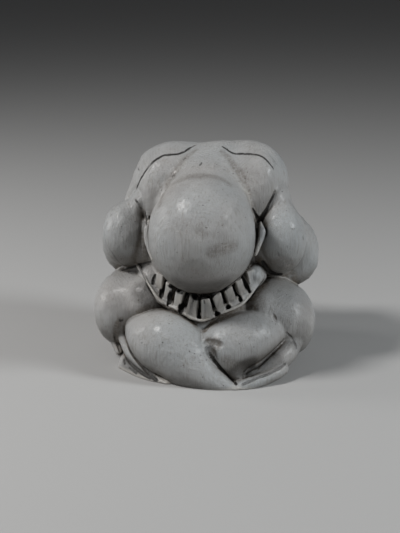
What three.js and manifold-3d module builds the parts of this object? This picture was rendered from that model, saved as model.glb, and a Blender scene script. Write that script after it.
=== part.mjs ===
// Weeping figurine: a crouched, seated man with his head bowed into both hands
// and his shins crossed in front, carved from one piece of wood.
// Units are millimetres. +Z is up, the crossed shins and the crown of the head
// face -Y, and the figure rests on Z = 0 with its footprint centred on the origin.
//
// The figure is a field of rounded masses. Each mass is an ellipsoid or a limb
// with a radius along its path; neighbours are joined with a fillet, so that a
// small fillet leaves a carved crease and a large one a soft transition.
import * as THREE from "three";
import { mergeVertices } from "three/addons/utils/BufferGeometryUtils.js";
import Module from "manifold-3d";

// ---------- driving sizes ----------
const HEIGHT = 100; // overall height aimed at
const CELL = 3.7; // width of one facet of the skin
const CREASE = 0.25; // how far a vertex may be moved onto the surface, of a cell
const FINGER_DEPTH = 3.4; // half the thickness of a finger, front to back
const FINGER_EDGE = 0.45; // bevel on the edges of a finger
const RIM_RADIUS = 0.78; // radius of the raised rim round the cupped hands
const RIM_SIDES = 6;
const RIM_STEPS = 30;
const WELD = 0.004; // vertices nearer to each other than this are one
const SINK = 1.3; // how far the skin runs on below the ground before it is cut

// ---------- masses ----------
// the back, from the shoulders down to the seat
const TORSO = [
  add(0, ell([2.5, 10, 60], [33, 28.5, 38])), // rib cage and belly
  add(8, ell([1, 16, 22], [32, 25, 26])), // pelvis
  add(7, ell([-14.8, 5, 77.6], [18.9, 19, 21.1], [0, -4, 0])), // left shoulder
  add(7, ell([19, 6, 79.7], [18.8, 19.5, 20], [0, 4, 0])), // right shoulder
  add(4, tube([[-23, 6, 86.7, 7.4], [-27.7, 6, 79.7, 6.5], [-32.7, 5, 72.3, 5.1], [-35.2, 3, 67.1, 3.7]], 4)), // slope from the left shoulder to the arm
  add(7, ell([-14, 24, 17], [20, 18, 19])), // left buttock
  add(3, ell([15, 24, 17], [20, 18, 19])), // right buttock
  add(8, ell([-33, 20, 17], [15, 18, 15])), // left hip
  add(8, ell([31, 20, 16.5], [15, 18, 14.5])), // right hip
  add(6, ell([-15.5, 25, 74], [13, 12, 15], [-12, 8, -14])), // left shoulder blade
  add(6, ell([19, 25, 74], [13, 12, 15], [-12, -8, 14])), // right shoulder blade
  cut(3.5, tube([[2, 30, 90, 1.2], [2, 38.5, 74, 1.6], [1.5, 41.6, 56, 1.8], [1, 42.6, 38, 1.8], [0.6, 43.5, 22, 2], [0.3, 43.2, 6, 2]], 5)), // groove of the spine
];
// what fills the hollows between the head, the arms and the knees
const BETWEEN = [
  add(0, ell([-26, -8, 53.9], [6.9, 9, 14.1])), // left of the head
  add(0, ell([27.6, -7, 55.4], [6.8, 9, 14])), // right of the head
  add(4, ell([-32, -4, 42.6], [6, 8, 4.8])), // under the left arm
  add(4, ell([32.9, 0, 41.8], [7.4, 8, 4.7])), // under the right arm
  add(2, ell([0, -7, 44], [25.5, 19.5, 25])), // chest, behind the hands
  add(4, ell([-27, 9, 45], [11, 14, 15])), // between the left arm and the side
  add(4, ell([29, 10, 44], [11, 14, 15])), // between the right arm and the side
];
// leaf-shaped muscle left of the neck
const LEAF_L = [
  add(0, ell([-18.7, -6, 78.5], [10, 9.5, 16.3], [-14, -14, 8])), // blade
  add(5, ell([-12.7, -2.5, 84.8], [7.3, 9.5, 9.3], [-20, 0, 0])), // its inner top
  add(4, tube([[-22.66, -7, 77.2, 4.53], [-23.84, -10, 71.82, 3.39], [-24.23, -13.5, 67.07, 1.35]], 4)), // its tip
];
// leaf-shaped muscle right of the neck
const LEAF_R = [
  add(0, ell([23.1, -5.6, 80.4], [9.9, 9.5, 16.1], [-14, 12, -8])), // blade
  add(5, ell([17.3, -1.5, 85.4], [7.2, 9.5, 9.3], [-20, 0, 0])), // its inner top
  add(4, tube([[25.85, -6, 78.3, 5.39], [26.14, -9, 73.47, 3.58], [25.79, -12.5, 68.77, 1.34]], 4)), // its tip
];
// the bowed head, crown to the front, and the nape
const HEAD = [
  add(0, ell([1.4, -24.5, 62.7], [23.6, 24.5, 26.5], [10, 0, 0])), // head
  add(7, tube([[4.6, 4, 89.4, 9.4], [3.5, -2.2, 84.3, 13.2], [2, -9, 76.2, 17.4]], 6)), // nape
];
// left upper arm, down to the elbow on the knee
const ARM_L = [
  add(0, ell([-36.4, -8, 58.3], [10.1, 12.5, 14.6], [0, 5, 0])), // front of the arm
  add(3, ell([-30.2, -4, 70.3], [5.5, 10, 9.4], [0, 26, 0])), // fold at the armpit
  add(5, ell([-32.2, -7, 56.3], [6.2, 10, 12.7])), // side of the arm by the head
  add(1.4, ell([-38.2, 5, 52], [11, 12, 15.9])), // back of the arm
  add(3, tube([[-42.92, 2, 48.78, 3.99], [-39.54, 0, 43.36, 3.51], [-36.61, -2, 40.87, 2.34]], 4)), // lower edge of the back of the arm
  add(6, tube([[-21, 10, 76, 11], [-30, 12, 63, 10.5], [-36.5, 10, 50, 9.5]], 4)), // from the shoulder to the elbow
];
// right upper arm
const ARM_R = [
  add(0, ell([36.2, -8, 59.2], [10.4, 12.5, 15.3], [0, -8, 0])), // front of the arm
  add(3, ell([33.4, -2, 71.6], [6.6, 10, 13], [0, -8, 0])), // fold at the armpit
  add(5, ell([32.6, -8, 58.1], [5.9, 10, 12.5])), // side of the arm by the head
  add(4, ell([35.4, -6, 47.4], [5.9, 9, 5.1])), // lower end of the front
  add(1.2, ell([39.7, 7, 49.2], [12.1, 11.5, 16.7], [0, -10, 0])), // back of the arm
  add(3, tube([[45, 5, 43.7, 5.6], [41.1, 2, 39.6, 5.1], [38, -1, 38.4, 3.7]], 4)), // lower edge of the back of the arm
  add(6, tube([[24, 11, 76, 11], [31, 14, 62, 10.5], [37.5, 12, 50, 9.5]], 4)), // from the shoulder to the elbow
];
// the lap between the thighs
const LAP = [
  add(0, ell([1, -8, 14], [34, 28, 24])),
];
// left thigh and knee
const LEG_L = [
  add(0, ell([-37.1, -10, 23.3], [13.5, 17, 17.6], [0, 4, 0])), // knee
  add(4, ell([-24.7, -15, 28.8], [12.8, 14, 12.7])), // inner thigh
  add(4, ell([-32.9, -7.5, 34.4], [6.5, 9, 8.1])), // top of the knee, under the arm
  add(7, tube([[-30, 22, 19, 16.5], [-35.5, 5, 23, 15]], 4)), // thigh
];
// right thigh and knee
const LEG_R = [
  add(0, ell([38.4, -9, 19.9], [13.3, 17, 16.9], [0, -4, 0])), // knee
  add(4, ell([29.5, -14, 24.8], [12.3, 13, 11.7])), // inner thigh
  add(4, ell([32.5, -6, 31], [7.8, 10, 8.7])), // top of the knee, under the arm
  add(7, tube([[28, 22, 18, 15.5], [33.5, 5, 20, 14]], 4)), // thigh
];
// ridge under the right shin
const RIDGE_R = [
  add(0, tube([[41.13, -17, 16.73, 3.63], [41.48, -22, 12.28, 4.73], [37.86, -28.5, 8.76, 5.13], [32.4, -33, 5.92, 4.44], [26.04, -36.5, 3.17, 3.54], [19.99, -38, 0.63, 2.65]], 6)),
];
// left foot, a strip along the ground at the right
const FOOT_L = [
  add(0, tube([[38.44, -33.5, 4.83, 2.79], [35.36, -37.2, 3.88, 2.82], [29.93, -41, 2.27, 2.89], [24.06, -44.2, 0.8, 3.06], [18.53, -46, -0.53, 3.27]], 5)),
];
// right shin, behind at the crossing
const SHIN_R = [
  add(0, tube([[38.2, -15, 20.7, 4.1], [30.2, -22.5, 18.2, 9.2], [22.1, -28.5, 16.6, 12.3], [14.8, -31.5, 14.5, 13.1], [8.7, -32.5, 11.8, 12]], 6)), // shin
  add(3, tube([[11.52, -34, 9.12, 8.89], [16.4, -38, 5.18, 5.3], [19.36, -41, 2.23, 2.64]], 4)), // where it goes under the other
];
// right foot, low at the left
const FOOT_R = [
  add(0, tube([[-32.8, -26, 0.5, 4.2], [-27.3, -32, -0.3, 4.1], [-20.3, -38, -0.8, 4], [-11.5, -43, -1.8, 3.5]], 5)), // foot
  add(2, tube([[-33.14, -24.5, 3.12, 2.97], [-28.35, -29.5, 1.56, 2.95], [-22.08, -35.5, 0.52, 2.69]], 5)), // instep
];
// ridges under the left shin
const RIDGE_L = [
  add(0, tube([[-35.18, -19.5, 19.21, 2.75], [-34.36, -22.5, 13.02, 3.02], [-31.68, -27, 8.45, 2.73], [-27.66, -31.8, 5.1, 2.25], [-22.85, -36.2, 2.67, 2.01], [-16.76, -40.5, 0.56, 2], [-9.61, -43.5, -1.48, 1.99]], 6)), // near the shin
  add(1.5, tube([[-41.48, -15, 15.49, 1.85], [-39.52, -18.5, 9.45, 2.12], [-37.05, -22, 5.68, 1.75]], 5)), // near the knee
];
// left shin, in front at the crossing
const SHIN_L = [
  add(0, tube([[-28.79, -21.5, 19.18, 5.47], [-21.92, -27, 16.55, 10.83], [-14.86, -31.5, 15.1, 14.32], [-8.51, -35, 12.84, 14.01], [-2.61, -39, 7.5, 11.27], [4.99, -43, 3.73, 7.46], [11.89, -45.5, 1.29, 4.59], [16.83, -46.5, 0.05, 2.62]], 5)),
];
// the cupped hands under the head, behind the fingers
const HANDS = [
  add(0, tube([[-25.47, -12, 42.19, 1.83], [-23.41, -13.5, 39.36, 3.66], [-18.73, -17, 35.82, 4.55], [-11.73, -21.2, 31.69, 4.74], [-4.53, -24, 30.26, 4.94], [1.98, -25.5, 30.29, 5.01], [8.11, -24, 31.22, 4.92], [14.56, -21.2, 34.11, 4.71], [19.6, -17.5, 38.1, 4.5], [23.33, -14, 41.67, 3.61], [24.96, -12, 43.97, 2.26]], 5)), // bed of the fingers
  add(2, tube([[-28.42, -11, 42.75, 1.83], [-22.52, -19, 38.18, 2.04], [-17.44, -25.5, 33.29, 2.02], [-11.96, -29, 31.09, 2], [-6.22, -31.5, 29.79, 1.99], [-1.12, -33, 28.62, 1.99], [3.4, -33.6, 28.3, 1.98], [9.43, -32, 30.34, 1.99], [15.38, -29.5, 32.79, 1.99], [20.1, -25.5, 35.43, 2], [23.85, -20, 38.78, 2.01], [27.02, -15, 42.1, 1.8]], 5)), // ledge behind the rim
  add(4, ell([-23.5, -13, 40.6], [4.1, 7, 5.2], [0, 30, 0])), // left palm
  add(3, ell([25, -14.6, 43.6], [3.7, 7, 4.6], [0, -35, 0])), // right palm
  add(4, ell([0.6, -14, 39], [22.7, 13, 13])), // heels of the hands
];
// left ear
const EAR_L = [
  add(0, tube([[-23.62, -17, 66.55, 0.72], [-23.91, -19, 63.35, 1.43], [-23.68, -20.4, 59.56, 1.52], [-22.5, -22.4, 55.51, 1.34], [-20.84, -24, 50.91, 0.8]], 5)),
];
// right ear
const EAR_R = [
  add(0, tube([[26.63, -17, 67.38, 0.62], [27.46, -19.2, 64.3, 1.63], [27.13, -20.2, 61.13, 1.5], [26.03, -21.4, 57.52, 1.06], [25, -22.4, 54.1, 0.57]], 5)),
];

// fingers, from the left: centre x, y, z, half width at the tip, half width at
// the root, half length, lean in degrees and turn in degrees
const FINGERS = [
  [-16.31, -21.68, 39.62, 2.14, 2.01, 4.88, 8.6, -34],
  [-11.98, -25.94, 36.85, 1.86, 1.77, 4.81, 12.6, -26],
  [-7.29, -29.57, 34.87, 2.07, 1.89, 4.66, 12.4, -18],
  [-1.21, -32.23, 33.02, 1.97, 2.67, 4.78, 7, -7],
  [4.5, -32.81, 32.55, 1.88, 2.8, 4.51, -8.2, 5],
  [9.32, -31.3, 34.43, 2.01, 1.79, 4.5, -16.2, 14],
  [13.62, -28.05, 36.77, 2.06, 1.84, 4.51, -16.3, 22],
  [17.61, -24.06, 39.33, 1.72, 1.68, 4.57, -18.1, 30],
  [21.78, -18.68, 42.25, 2.09, 1.69, 4.48, -11.9, 34],
];
// the raised rim of the cupped hands, from the left palm round to the right
const RIM = [
  [-29.34, -14.6, 44.94],
  [-26.07, -19.4, 42.13],
  [-22.76, -24.2, 39.26],
  [-19.86, -27.2, 36.26],
  [-17.07, -29, 33.46],
  [-14.05, -30, 32.03],
  [-9.64, -32.6, 31.27],
  [-5.88, -34, 29.55],
  [-1.7, -35.4, 27.76],
  [3.25, -36, 27.05],
  [8, -35, 28.49],
  [11.44, -34.2, 30.21],
  [16.07, -32, 31.9],
  [19.23, -30, 33.05],
  [21.79, -27, 34.99],
  [24.51, -22.6, 37.92],
  [27.8, -16.5, 41.91],
];

// the masses in the order they are joined, each with its fillet
const FIGURE = [
  [0, TORSO],
  [2, BETWEEN],
  [1.4, LEAF_L],
  [1.4, LEAF_R],
  [4.5, HEAD],
  [1, ARM_L],
  [1, ARM_R],
  [3, LAP],
  [1.5, LEG_L],
  [1.5, LEG_R],
  [1.2, RIDGE_R],
  [0.6, FOOT_L],
  [0.8, SHIN_R],
  [0.7, FOOT_R],
  [0.7, RIDGE_L],
  [0.5, SHIN_L],
  [0.6, HANDS],
  [0.5, EAR_L],
  [0.5, EAR_R],
];

// ---------- rounded masses as distance functions ----------
function add(fillet, mass) {
  return { mode: 1, fillet, mass };
}
function cut(fillet, mass) {
  return { mode: -1, fillet, mass };
}

// ellipsoid: centre, three radii, turns about X, Y and Z in degrees
function ell(centre, radii, turn = [0, 0, 0]) {
  const c = new THREE.Vector3(...centre);
  const rad = turn.map((t) => THREE.MathUtils.degToRad(t));
  const m = new THREE.Matrix4().makeRotationFromEuler(
    new THREE.Euler(rad[0], rad[1], rad[2], "ZYX"),
  );
  const e = m.elements;
  const half = [0, 1, 2].map((i) =>
    Math.hypot(e[i] * radii[0], e[i + 4] * radii[1], e[i + 8] * radii[2]),
  );
  return {
    low: centre.map((v, i) => v - half[i]),
    high: centre.map((v, i) => v + half[i]),
    distance(x, y, z) {
      const px = x - c.x;
      const py = y - c.y;
      const pz = z - c.z;
      const a = (e[0] * px + e[1] * py + e[2] * pz) / radii[0];
      const b = (e[4] * px + e[5] * py + e[6] * pz) / radii[1];
      const d = (e[8] * px + e[9] * py + e[10] * pz) / radii[2];
      const k0 = Math.hypot(a, b, d);
      const k1 = Math.hypot(a / radii[0], b / radii[1], d / radii[2]);
      return k1 > 1e-9 ? (k0 * (k0 - 1)) / k1 : -Math.min(...radii);
    },
  };
}

// limb: stations of x, y, z and radius, followed smoothly with n steps a span
function tube(stations, n) {
  const rows = [];
  const last = stations.length - 1;
  const station = (i) =>
    i < 0
      ? stations[0].map((v, k) => 2 * v - stations[1][k])
      : i > last
        ? stations[last].map((v, k) => 2 * v - stations[last - 1][k])
        : stations[i];
  const two = last === 1;
  for (let i = 0; i < last; i++) {
    const [p0, p1, p2, p3] = [i - 1, i, i + 1, i + 2].map(station);
    for (let j = 0; j < n; j++) {
      const t = j / n;
      rows.push(
        p1.map((v, k) =>
          two
            ? v * (1 - t) + p2[k] * t
            : 0.5 *
              (2 * v +
                (p2[k] - p0[k]) * t +
                (2 * p0[k] - 5 * v + 4 * p2[k] - p3[k]) * t * t +
                (3 * v - p0[k] - 3 * p2[k] + p3[k]) * t * t * t),
        ),
      );
    }
  }
  rows.push(stations[last]);
  const low = [0, 1, 2].map((k) => Math.min(...rows.map((r) => r[k] - r[3])));
  const high = [0, 1, 2].map((k) => Math.max(...rows.map((r) => r[k] + r[3])));
  return {
    low,
    high,
    distance(x, y, z) {
      let best = 1e9;
      for (let i = 0; i + 1 < rows.length; i++) {
        const a = rows[i];
        const b = rows[i + 1];
        const dx = b[0] - a[0];
        const dy = b[1] - a[1];
        const dz = b[2] - a[2];
        const length2 = Math.max(dx * dx + dy * dy + dz * dz, 1e-12);
        let t = ((x - a[0]) * dx + (y - a[1]) * dy + (z - a[2]) * dz) / length2;
        t = Math.min(1, Math.max(0, t));
        const w = Math.hypot(x - a[0] - t * dx, y - a[1] - t * dy, z - a[2] - t * dz);
        best = Math.min(best, w - (a[3] + (b[3] - a[3]) * t));
      }
      return best;
    },
  };
}

function join(a, b, fillet) {
  if (fillet <= 0) return Math.min(a, b);
  const h = Math.max(fillet - Math.abs(a - b), 0);
  return Math.min(a, b) - (h * h) / (4 * fillet);
}

function outside(mass, x, y, z) {
  const dx = Math.max(mass.low[0] - x, x - mass.high[0], 0);
  const dy = Math.max(mass.low[1] - y, y - mass.high[1], 0);
  const dz = Math.max(mass.low[2] - z, z - mass.high[2], 0);
  return Math.hypot(dx, dy, dz);
}

function groupDistance(group, x, y, z) {
  let d = 1e3;
  for (const { mode, fillet, mass } of group) {
    const far = outside(mass, x, y, z);
    if (mode > 0) {
      if (far < d + fillet) d = join(d, mass.distance(x, y, z), fillet);
    } else if (far < fillet - d) d = -join(-d, mass.distance(x, y, z), fillet);
  }
  return d;
}

for (const [, group] of FIGURE) {
  group.low = [0, 1, 2].map((k) => Math.min(...group.map((o) => o.mass.low[k])));
  group.high = [0, 1, 2].map((k) => Math.max(...group.map((o) => o.mass.high[k])));
}

function figureDistance(x, y, z) {
  let d = 1e3;
  for (const [fillet, group] of FIGURE)
    if (outside(group, x, y, z) < d + fillet)
      d = join(d, groupDistance(group, x, y, z), fillet);
  return Math.max(d, -SINK - z);
}

// ---------- skin over the masses ----------
// One vertex for each sheet of the surface in a cell, one quadrilateral for each
// crossed edge of the grid. Where a face of a cell is crossed four times, the
// corners inside the wood are kept apart, the same way from both sides.
function skin(low, high, cell) {
  const n = low.map((v, i) => Math.ceil((high[i] - v) / cell) + 1);
  const at = (i, j, k) => (i * n[1] + j) * n[2] + k;
  const value = new Float64Array(n[0] * n[1] * n[2]);
  for (let i = 0; i < n[0]; i++)
    for (let j = 0; j < n[1]; j++)
      for (let k = 0; k < n[2]; k++) {
        const d = figureDistance(low[0] + i * cell, low[1] + j * cell, low[2] + k * cell);
        value[at(i, j, k)] = Math.abs(d) < 1e-6 ? 1e-6 : d;
      }
  const corner = [];
  for (let c = 0; c < 8; c++) corner.push([c & 1, (c >> 1) & 1, (c >> 2) & 1]);
  const edges = [];
  for (let axis = 0; axis < 3; axis++)
    for (let c = 0; c < 8; c++)
      if (!corner[c][axis]) edges.push([c, c | (1 << axis), axis]);
  const faces = [];
  for (let axis = 0; axis < 3; axis++)
    for (const side of [0, 1]) {
      const u = (axis + 1) % 3;
      const v = (axis + 2) % 3;
      const ring = [[0, 0], [1, 0], [1, 1], [0, 1]].map(
        ([a, b]) => (side << axis) | (a << u) | (b << v),
      );
      const sides = ring.map((c, i) => {
        const d = ring[(i + 1) % 4];
        return edges.findIndex((e) => (e[0] === c && e[1] === d) || (e[0] === d && e[1] === c));
      });
      faces.push({ ring, sides });
    }
  const points = [];
  const sheetOf = new Map(); // cell and edge of the cell -> vertex
  for (let i = 0; i + 1 < n[0]; i++)
    for (let j = 0; j + 1 < n[1]; j++)
      for (let k = 0; k + 1 < n[2]; k++) {
        const d = corner.map((c) => value[at(i + c[0], j + c[1], k + c[2])]);
        const inside = d.map((v) => v < 0);
        if (inside.every((v) => v === inside[0])) continue;
        const parent = edges.map((e, m) => (inside[e[0]] !== inside[e[1]] ? m : -1));
        const root = (m) => (parent[m] === m ? m : root(parent[m]));
        for (const { ring, sides } of faces) {
          const crossed = sides.filter((m) => parent[m] >= 0);
          if (crossed.length === 2) parent[root(crossed[0])] = root(crossed[1]);
          else if (crossed.length === 4)
            ring.forEach((c, m) => {
              if (inside[c]) parent[root(sides[m])] = root(sides[(m + 3) % 4]);
            });
        }
        const sheets = new Map();
        edges.forEach((e, m) => {
          if (parent[m] < 0) return;
          const r = root(m);
          if (!sheets.has(r)) sheets.set(r, []);
          sheets.get(r).push(m);
        });
        for (const list of sheets.values()) {
          const p = [0, 0, 0];
          for (const m of list) {
            const [a, b] = edges[m];
            const t = d[a] / (d[a] - d[b]);
            for (let q = 0; q < 3; q++)
              p[q] += (corner[a][q] + (corner[b][q] - corner[a][q]) * t) / list.length;
          }
          const vertex = points.length;
          points.push([i, j, k].map((v, q) => low[q] + (v + p[q]) * cell));
          for (const m of list) sheetOf.set(at(i, j, k) * 12 + m, vertex);
        }
      }
  // settle the vertices on the surface itself
  const step = 0.02;
  for (const p of points)
    for (let turn = 0; turn < 3; turn++) {
      const d = figureDistance(...p);
      const g = [0, 1, 2].map((q) => {
        const s = p.slice();
        s[q] += step;
        return (figureDistance(...s) - d) / step;
      });
      const g2 = Math.max(g[0] * g[0] + g[1] * g[1] + g[2] * g[2], 0.05);
      const most = (CREASE * cell) / Math.max(Math.abs(d) / Math.sqrt(g2), 1e-9);
      const f = (d / g2) * Math.min(1, most);
      for (let q = 0; q < 3; q++) p[q] -= f * g[q];
    }
  const index = [];
  const quad = (a, b, c, d) => {
    const dist = (p, q) => Math.hypot(...points[p].map((v, m) => v - points[q][m]));
    if (dist(a, c) <= dist(b, d)) index.push(a, b, c, a, c, d);
    else index.push(a, b, d, b, c, d);
  };
  for (let axis = 0; axis < 3; axis++) {
    const u = (axis + 1) % 3;
    const v = (axis + 2) % 3;
    for (let i = 0; i < n[0]; i++)
      for (let j = 0; j < n[1]; j++)
        for (let k = 0; k < n[2]; k++) {
          const p = [i, j, k];
          if (p[axis] + 1 >= n[axis] || !p[u] || !p[v]) continue;
          if (p[u] + 1 >= n[u] || p[v] + 1 >= n[v]) continue;
          const q = p.slice();
          q[axis]++;
          const a = value[at(...p)] < 0;
          if (a === value[at(...q)] < 0) continue;
          const around = [[1, 1], [0, 1], [0, 0], [1, 0]].map(([du, dv]) => {
            const cellAt = p.slice();
            cellAt[u] -= du;
            cellAt[v] -= dv;
            const from = (du << u) | (dv << v);
            const m = edges.findIndex((e) => e[0] === from && e[2] === axis);
            return sheetOf.get(at(...cellAt) * 12 + m);
          });
          if (a) quad(...around);
          else quad(...around.reverse());
        }
  }
  const g = new THREE.BufferGeometry();
  g.setAttribute("position", new THREE.Float32BufferAttribute(points.flat(), 3));
  g.setIndex(index);
  return g;
}

// one finger: a bar with bevelled edges, wider or narrower at its root
function finger([x, y, z, tip, root, length, lean, turn]) {
  const e = FINGER_EDGE;
  const s = new THREE.Shape();
  s.moveTo(-root + e, -length + e);
  s.lineTo(root - e, -length + e);
  s.lineTo(tip - e, length - e);
  s.lineTo(-tip + e, length - e);
  s.closePath();
  const g = new THREE.ExtrudeGeometry(s, {
    depth: 2 * (FINGER_DEPTH - e),
    bevelSize: e,
    bevelThickness: e,
    bevelSegments: 1,
    curveSegments: 1,
  });
  g.translate(0, 0, -(FINGER_DEPTH - e));
  g.rotateX(Math.PI / 2); // its length stands up, its thickness runs front to back
  g.rotateY(THREE.MathUtils.degToRad(lean));
  g.rotateZ(THREE.MathUtils.degToRad(turn));
  g.translate(x, y, z);
  return g;
}

// the rim: a round bar along its path, closed at both ends
function rim() {
  const path = new THREE.CatmullRomCurve3(RIM.map((p) => new THREE.Vector3(...p)));
  const g = new THREE.TubeGeometry(path, RIM_STEPS, RIM_RADIUS, RIM_SIDES, false);
  const p = g.getAttribute("position");
  const ring = RIM_SIDES + 1;
  const points = Array.from(p.array);
  const index = Array.from(g.index.array);
  for (const [first, centre, flip] of [
    [0, RIM[0], true],
    [RIM_STEPS * ring, RIM[RIM.length - 1], false],
  ]) {
    const c = points.length / 3;
    points.push(...centre);
    for (let i = 0; i < RIM_SIDES; i++)
      index.push(c, first + i + (flip ? 0 : 1), first + i + (flip ? 1 : 0));
  }
  const out = new THREE.BufferGeometry();
  out.setAttribute("position", new THREE.Float32BufferAttribute(points, 3));
  out.setIndex(index);
  return out;
}

// ---------- joining and cutting ----------
const wasm = await Module();
wasm.setup();

function solid(geometry) {
  const bare = new THREE.BufferGeometry();
  bare.setAttribute("position", geometry.getAttribute("position"));
  if (geometry.index) bare.setIndex(geometry.index);
  const m = mergeVertices(bare, 1e-4);
  const made = new wasm.Manifold(
    new wasm.Mesh({
      numProp: 3,
      vertProperties: new Float32Array(m.getAttribute("position").array),
      triVerts: new Uint32Array(m.index.array),
    }),
  );
  if (made.volume() < 0) throw new Error("a solid is inside out");
  return made;
}

function geometryOf(made) {
  const m = made.getMesh();
  const g = new THREE.BufferGeometry();
  g.setAttribute("position", new THREE.Float32BufferAttribute(m.vertProperties, 3));
  g.setIndex(Array.from(m.triVerts));
  return g;
}

// The grid is shifted a little until no two sheets of the skin share an edge.
// whether each edge of the skin belongs to two facets and no more
function edgesPaired(g) {
  const count = new Map();
  const index = g.index.array;
  for (let t = 0; t < index.length; t += 3)
    for (let q = 0; q < 3; q++) {
      const a = index[t + q];
      const b = index[t + ((q + 1) % 3)];
      const key = Math.min(a, b) * 1e6 + Math.max(a, b);
      count.set(key, (count.get(key) ?? 0) + 1);
    }
  return [...count.values()].every((v) => v === 2);
}

// vertices that lie closer together than the gap become one
function welded(g, gap) {
  const m = mergeVertices(g, gap);
  const index = m.index.array;
  const kept = [];
  for (let t = 0; t < index.length; t += 3) {
    const [a, b, c] = index.slice(t, t + 3);
    if (a !== b && b !== c && c !== a) kept.push(a, b, c);
  }
  m.setIndex(kept);
  return m;
}

const LOW = [-57, -57, -SINK - 2];
const HIGH = [57, 48, HEIGHT + 4];
const ground = new THREE.BoxGeometry(200, 200, 40);
ground.translate(0, 0, -20);
let hands = solid(rim());
for (const f of FINGERS) hands = hands.add(solid(finger(f)));

// The grid is shifted a little until no two sheets of the skin share an edge
// and the joins with the fingers are clean.
let whole = null;
for (let shift = 0; !whole && shift < CELL; shift += 0.23) {
  const g = skin(LOW.map((v) => v - shift), HIGH, CELL);
  if (!edgesPaired(g)) continue;
  const made = solid(g).add(hands).subtract(solid(ground));
  if (made.decompose().length > 1) continue;
  const clean = welded(geometryOf(made), WELD);
  if (edgesPaired(clean)) whole = clean;
}
whole.computeBoundingBox();
const middle = whole.boundingBox.getCenter(new THREE.Vector3());
whole.translate(-middle.x, -middle.y, 0); // the footprint's box is centred on the origin
whole.computeVertexNormals();

const paint = new THREE.MeshStandardMaterial({
  color: 0xb9b8b2, // worn off-white wash over wood
  roughness: 0.55,
  metalness: 0,
});
const figure = new THREE.Mesh(whole, paint);
figure.name = "figure";

const part = new THREE.Group();
part.name = "weeping_buddha_figurine";
part.add(figure);

export default part;
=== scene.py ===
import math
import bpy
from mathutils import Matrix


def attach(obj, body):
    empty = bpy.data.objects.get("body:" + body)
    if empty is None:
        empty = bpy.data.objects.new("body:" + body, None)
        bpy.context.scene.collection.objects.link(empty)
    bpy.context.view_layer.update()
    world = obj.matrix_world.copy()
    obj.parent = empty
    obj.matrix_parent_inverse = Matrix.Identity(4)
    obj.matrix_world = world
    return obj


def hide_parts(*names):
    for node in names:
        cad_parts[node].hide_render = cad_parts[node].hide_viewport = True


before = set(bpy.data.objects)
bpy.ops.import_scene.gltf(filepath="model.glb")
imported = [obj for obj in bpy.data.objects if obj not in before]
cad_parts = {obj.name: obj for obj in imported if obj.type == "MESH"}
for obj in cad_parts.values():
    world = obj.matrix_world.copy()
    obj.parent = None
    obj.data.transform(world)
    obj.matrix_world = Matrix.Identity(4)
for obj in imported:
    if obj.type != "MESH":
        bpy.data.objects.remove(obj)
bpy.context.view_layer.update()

# A small carved figurine: a crouched, seated man with his head bowed into both
# hands and his shins crossed in front, cut from one block of wood, washed with
# thin off-white paint and darkened in its hollows.
#
# The carving is a field of rounded masses, in millimetres. Each mass is an
# ellipsoid or a limb with a radius along its path, and neighbours are joined
# with a fillet: a small one leaves a carved crease, a large one a soft
# transition. The field is meshed, then the knife lines, the pits and the
# unevenness of the hand-cut surface are worked into the mesh itself.
from concurrent.futures import ThreadPoolExecutor

import bpy
import numpy as np
from mathutils import Matrix, Vector

CELL = 0.44  # width of one facet of the raw skin, mm
MOST_TRIANGLES = 196000

# ---------------------------------------------------------------- the field


def smin(a, b, k):
    if k <= 0:
        return np.minimum(a, b)
    h = np.maximum(k - np.abs(a - b), 0.0)
    return np.minimum(a, b) - h * h / (4 * k)


def smax(a, b, k):
    return -smin(-a, -b, k)


def turned(e):
    a, b, c = np.radians(e)
    x = np.array([[1, 0, 0], [0, np.cos(a), -np.sin(a)], [0, np.sin(a), np.cos(a)]])
    y = np.array([[np.cos(b), 0, np.sin(b)], [0, 1, 0], [-np.sin(b), 0, np.cos(b)]])
    z = np.array([[np.cos(c), -np.sin(c), 0], [np.sin(c), np.cos(c), 0], [0, 0, 1]])
    return z @ y @ x


class Ellipsoid:
    def __init__(self, centre, radii, e=(0, 0, 0)):
        self.c, self.r, self.m = np.array(centre, float), np.array(radii, float), turned(e)
        h = np.sqrt((self.m**2) @ (self.r**2))
        self.lo, self.hi = self.c - h, self.c + h

    def d(self, p):
        q = ((p - self.c) @ self.m) / self.r
        k0 = np.sqrt((q * q).sum(1))
        k1 = np.sqrt(((q / self.r) ** 2).sum(1))
        return np.where(k1 > 1e-9, k0 * (k0 - 1) / np.maximum(k1, 1e-9), -self.r.min())


def smooth_path(rows, n):
    p = np.array(rows, float)
    m = len(p)
    if m < 3:
        t = np.linspace(0, 1, n + 1)[:, None]
        return p[0] * (1 - t) + p[1] * t
    out = []
    for i in range(m - 1):
        p0 = p[i - 1] if i > 0 else 2 * p[0] - p[1]
        p1, p2 = p[i], p[i + 1]
        p3 = p[i + 2] if i + 2 < m else 2 * p[m - 1] - p[m - 2]
        for j in range(n):
            t = j / n
            out.append(0.5 * (2 * p1 + (p2 - p0) * t + (2 * p0 - 5 * p1 + 4 * p2 - p3) * t * t
                              + (3 * p1 - p0 - 3 * p2 + p3) * t**3))
    out.append(p[-1])
    return np.array(out)


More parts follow.
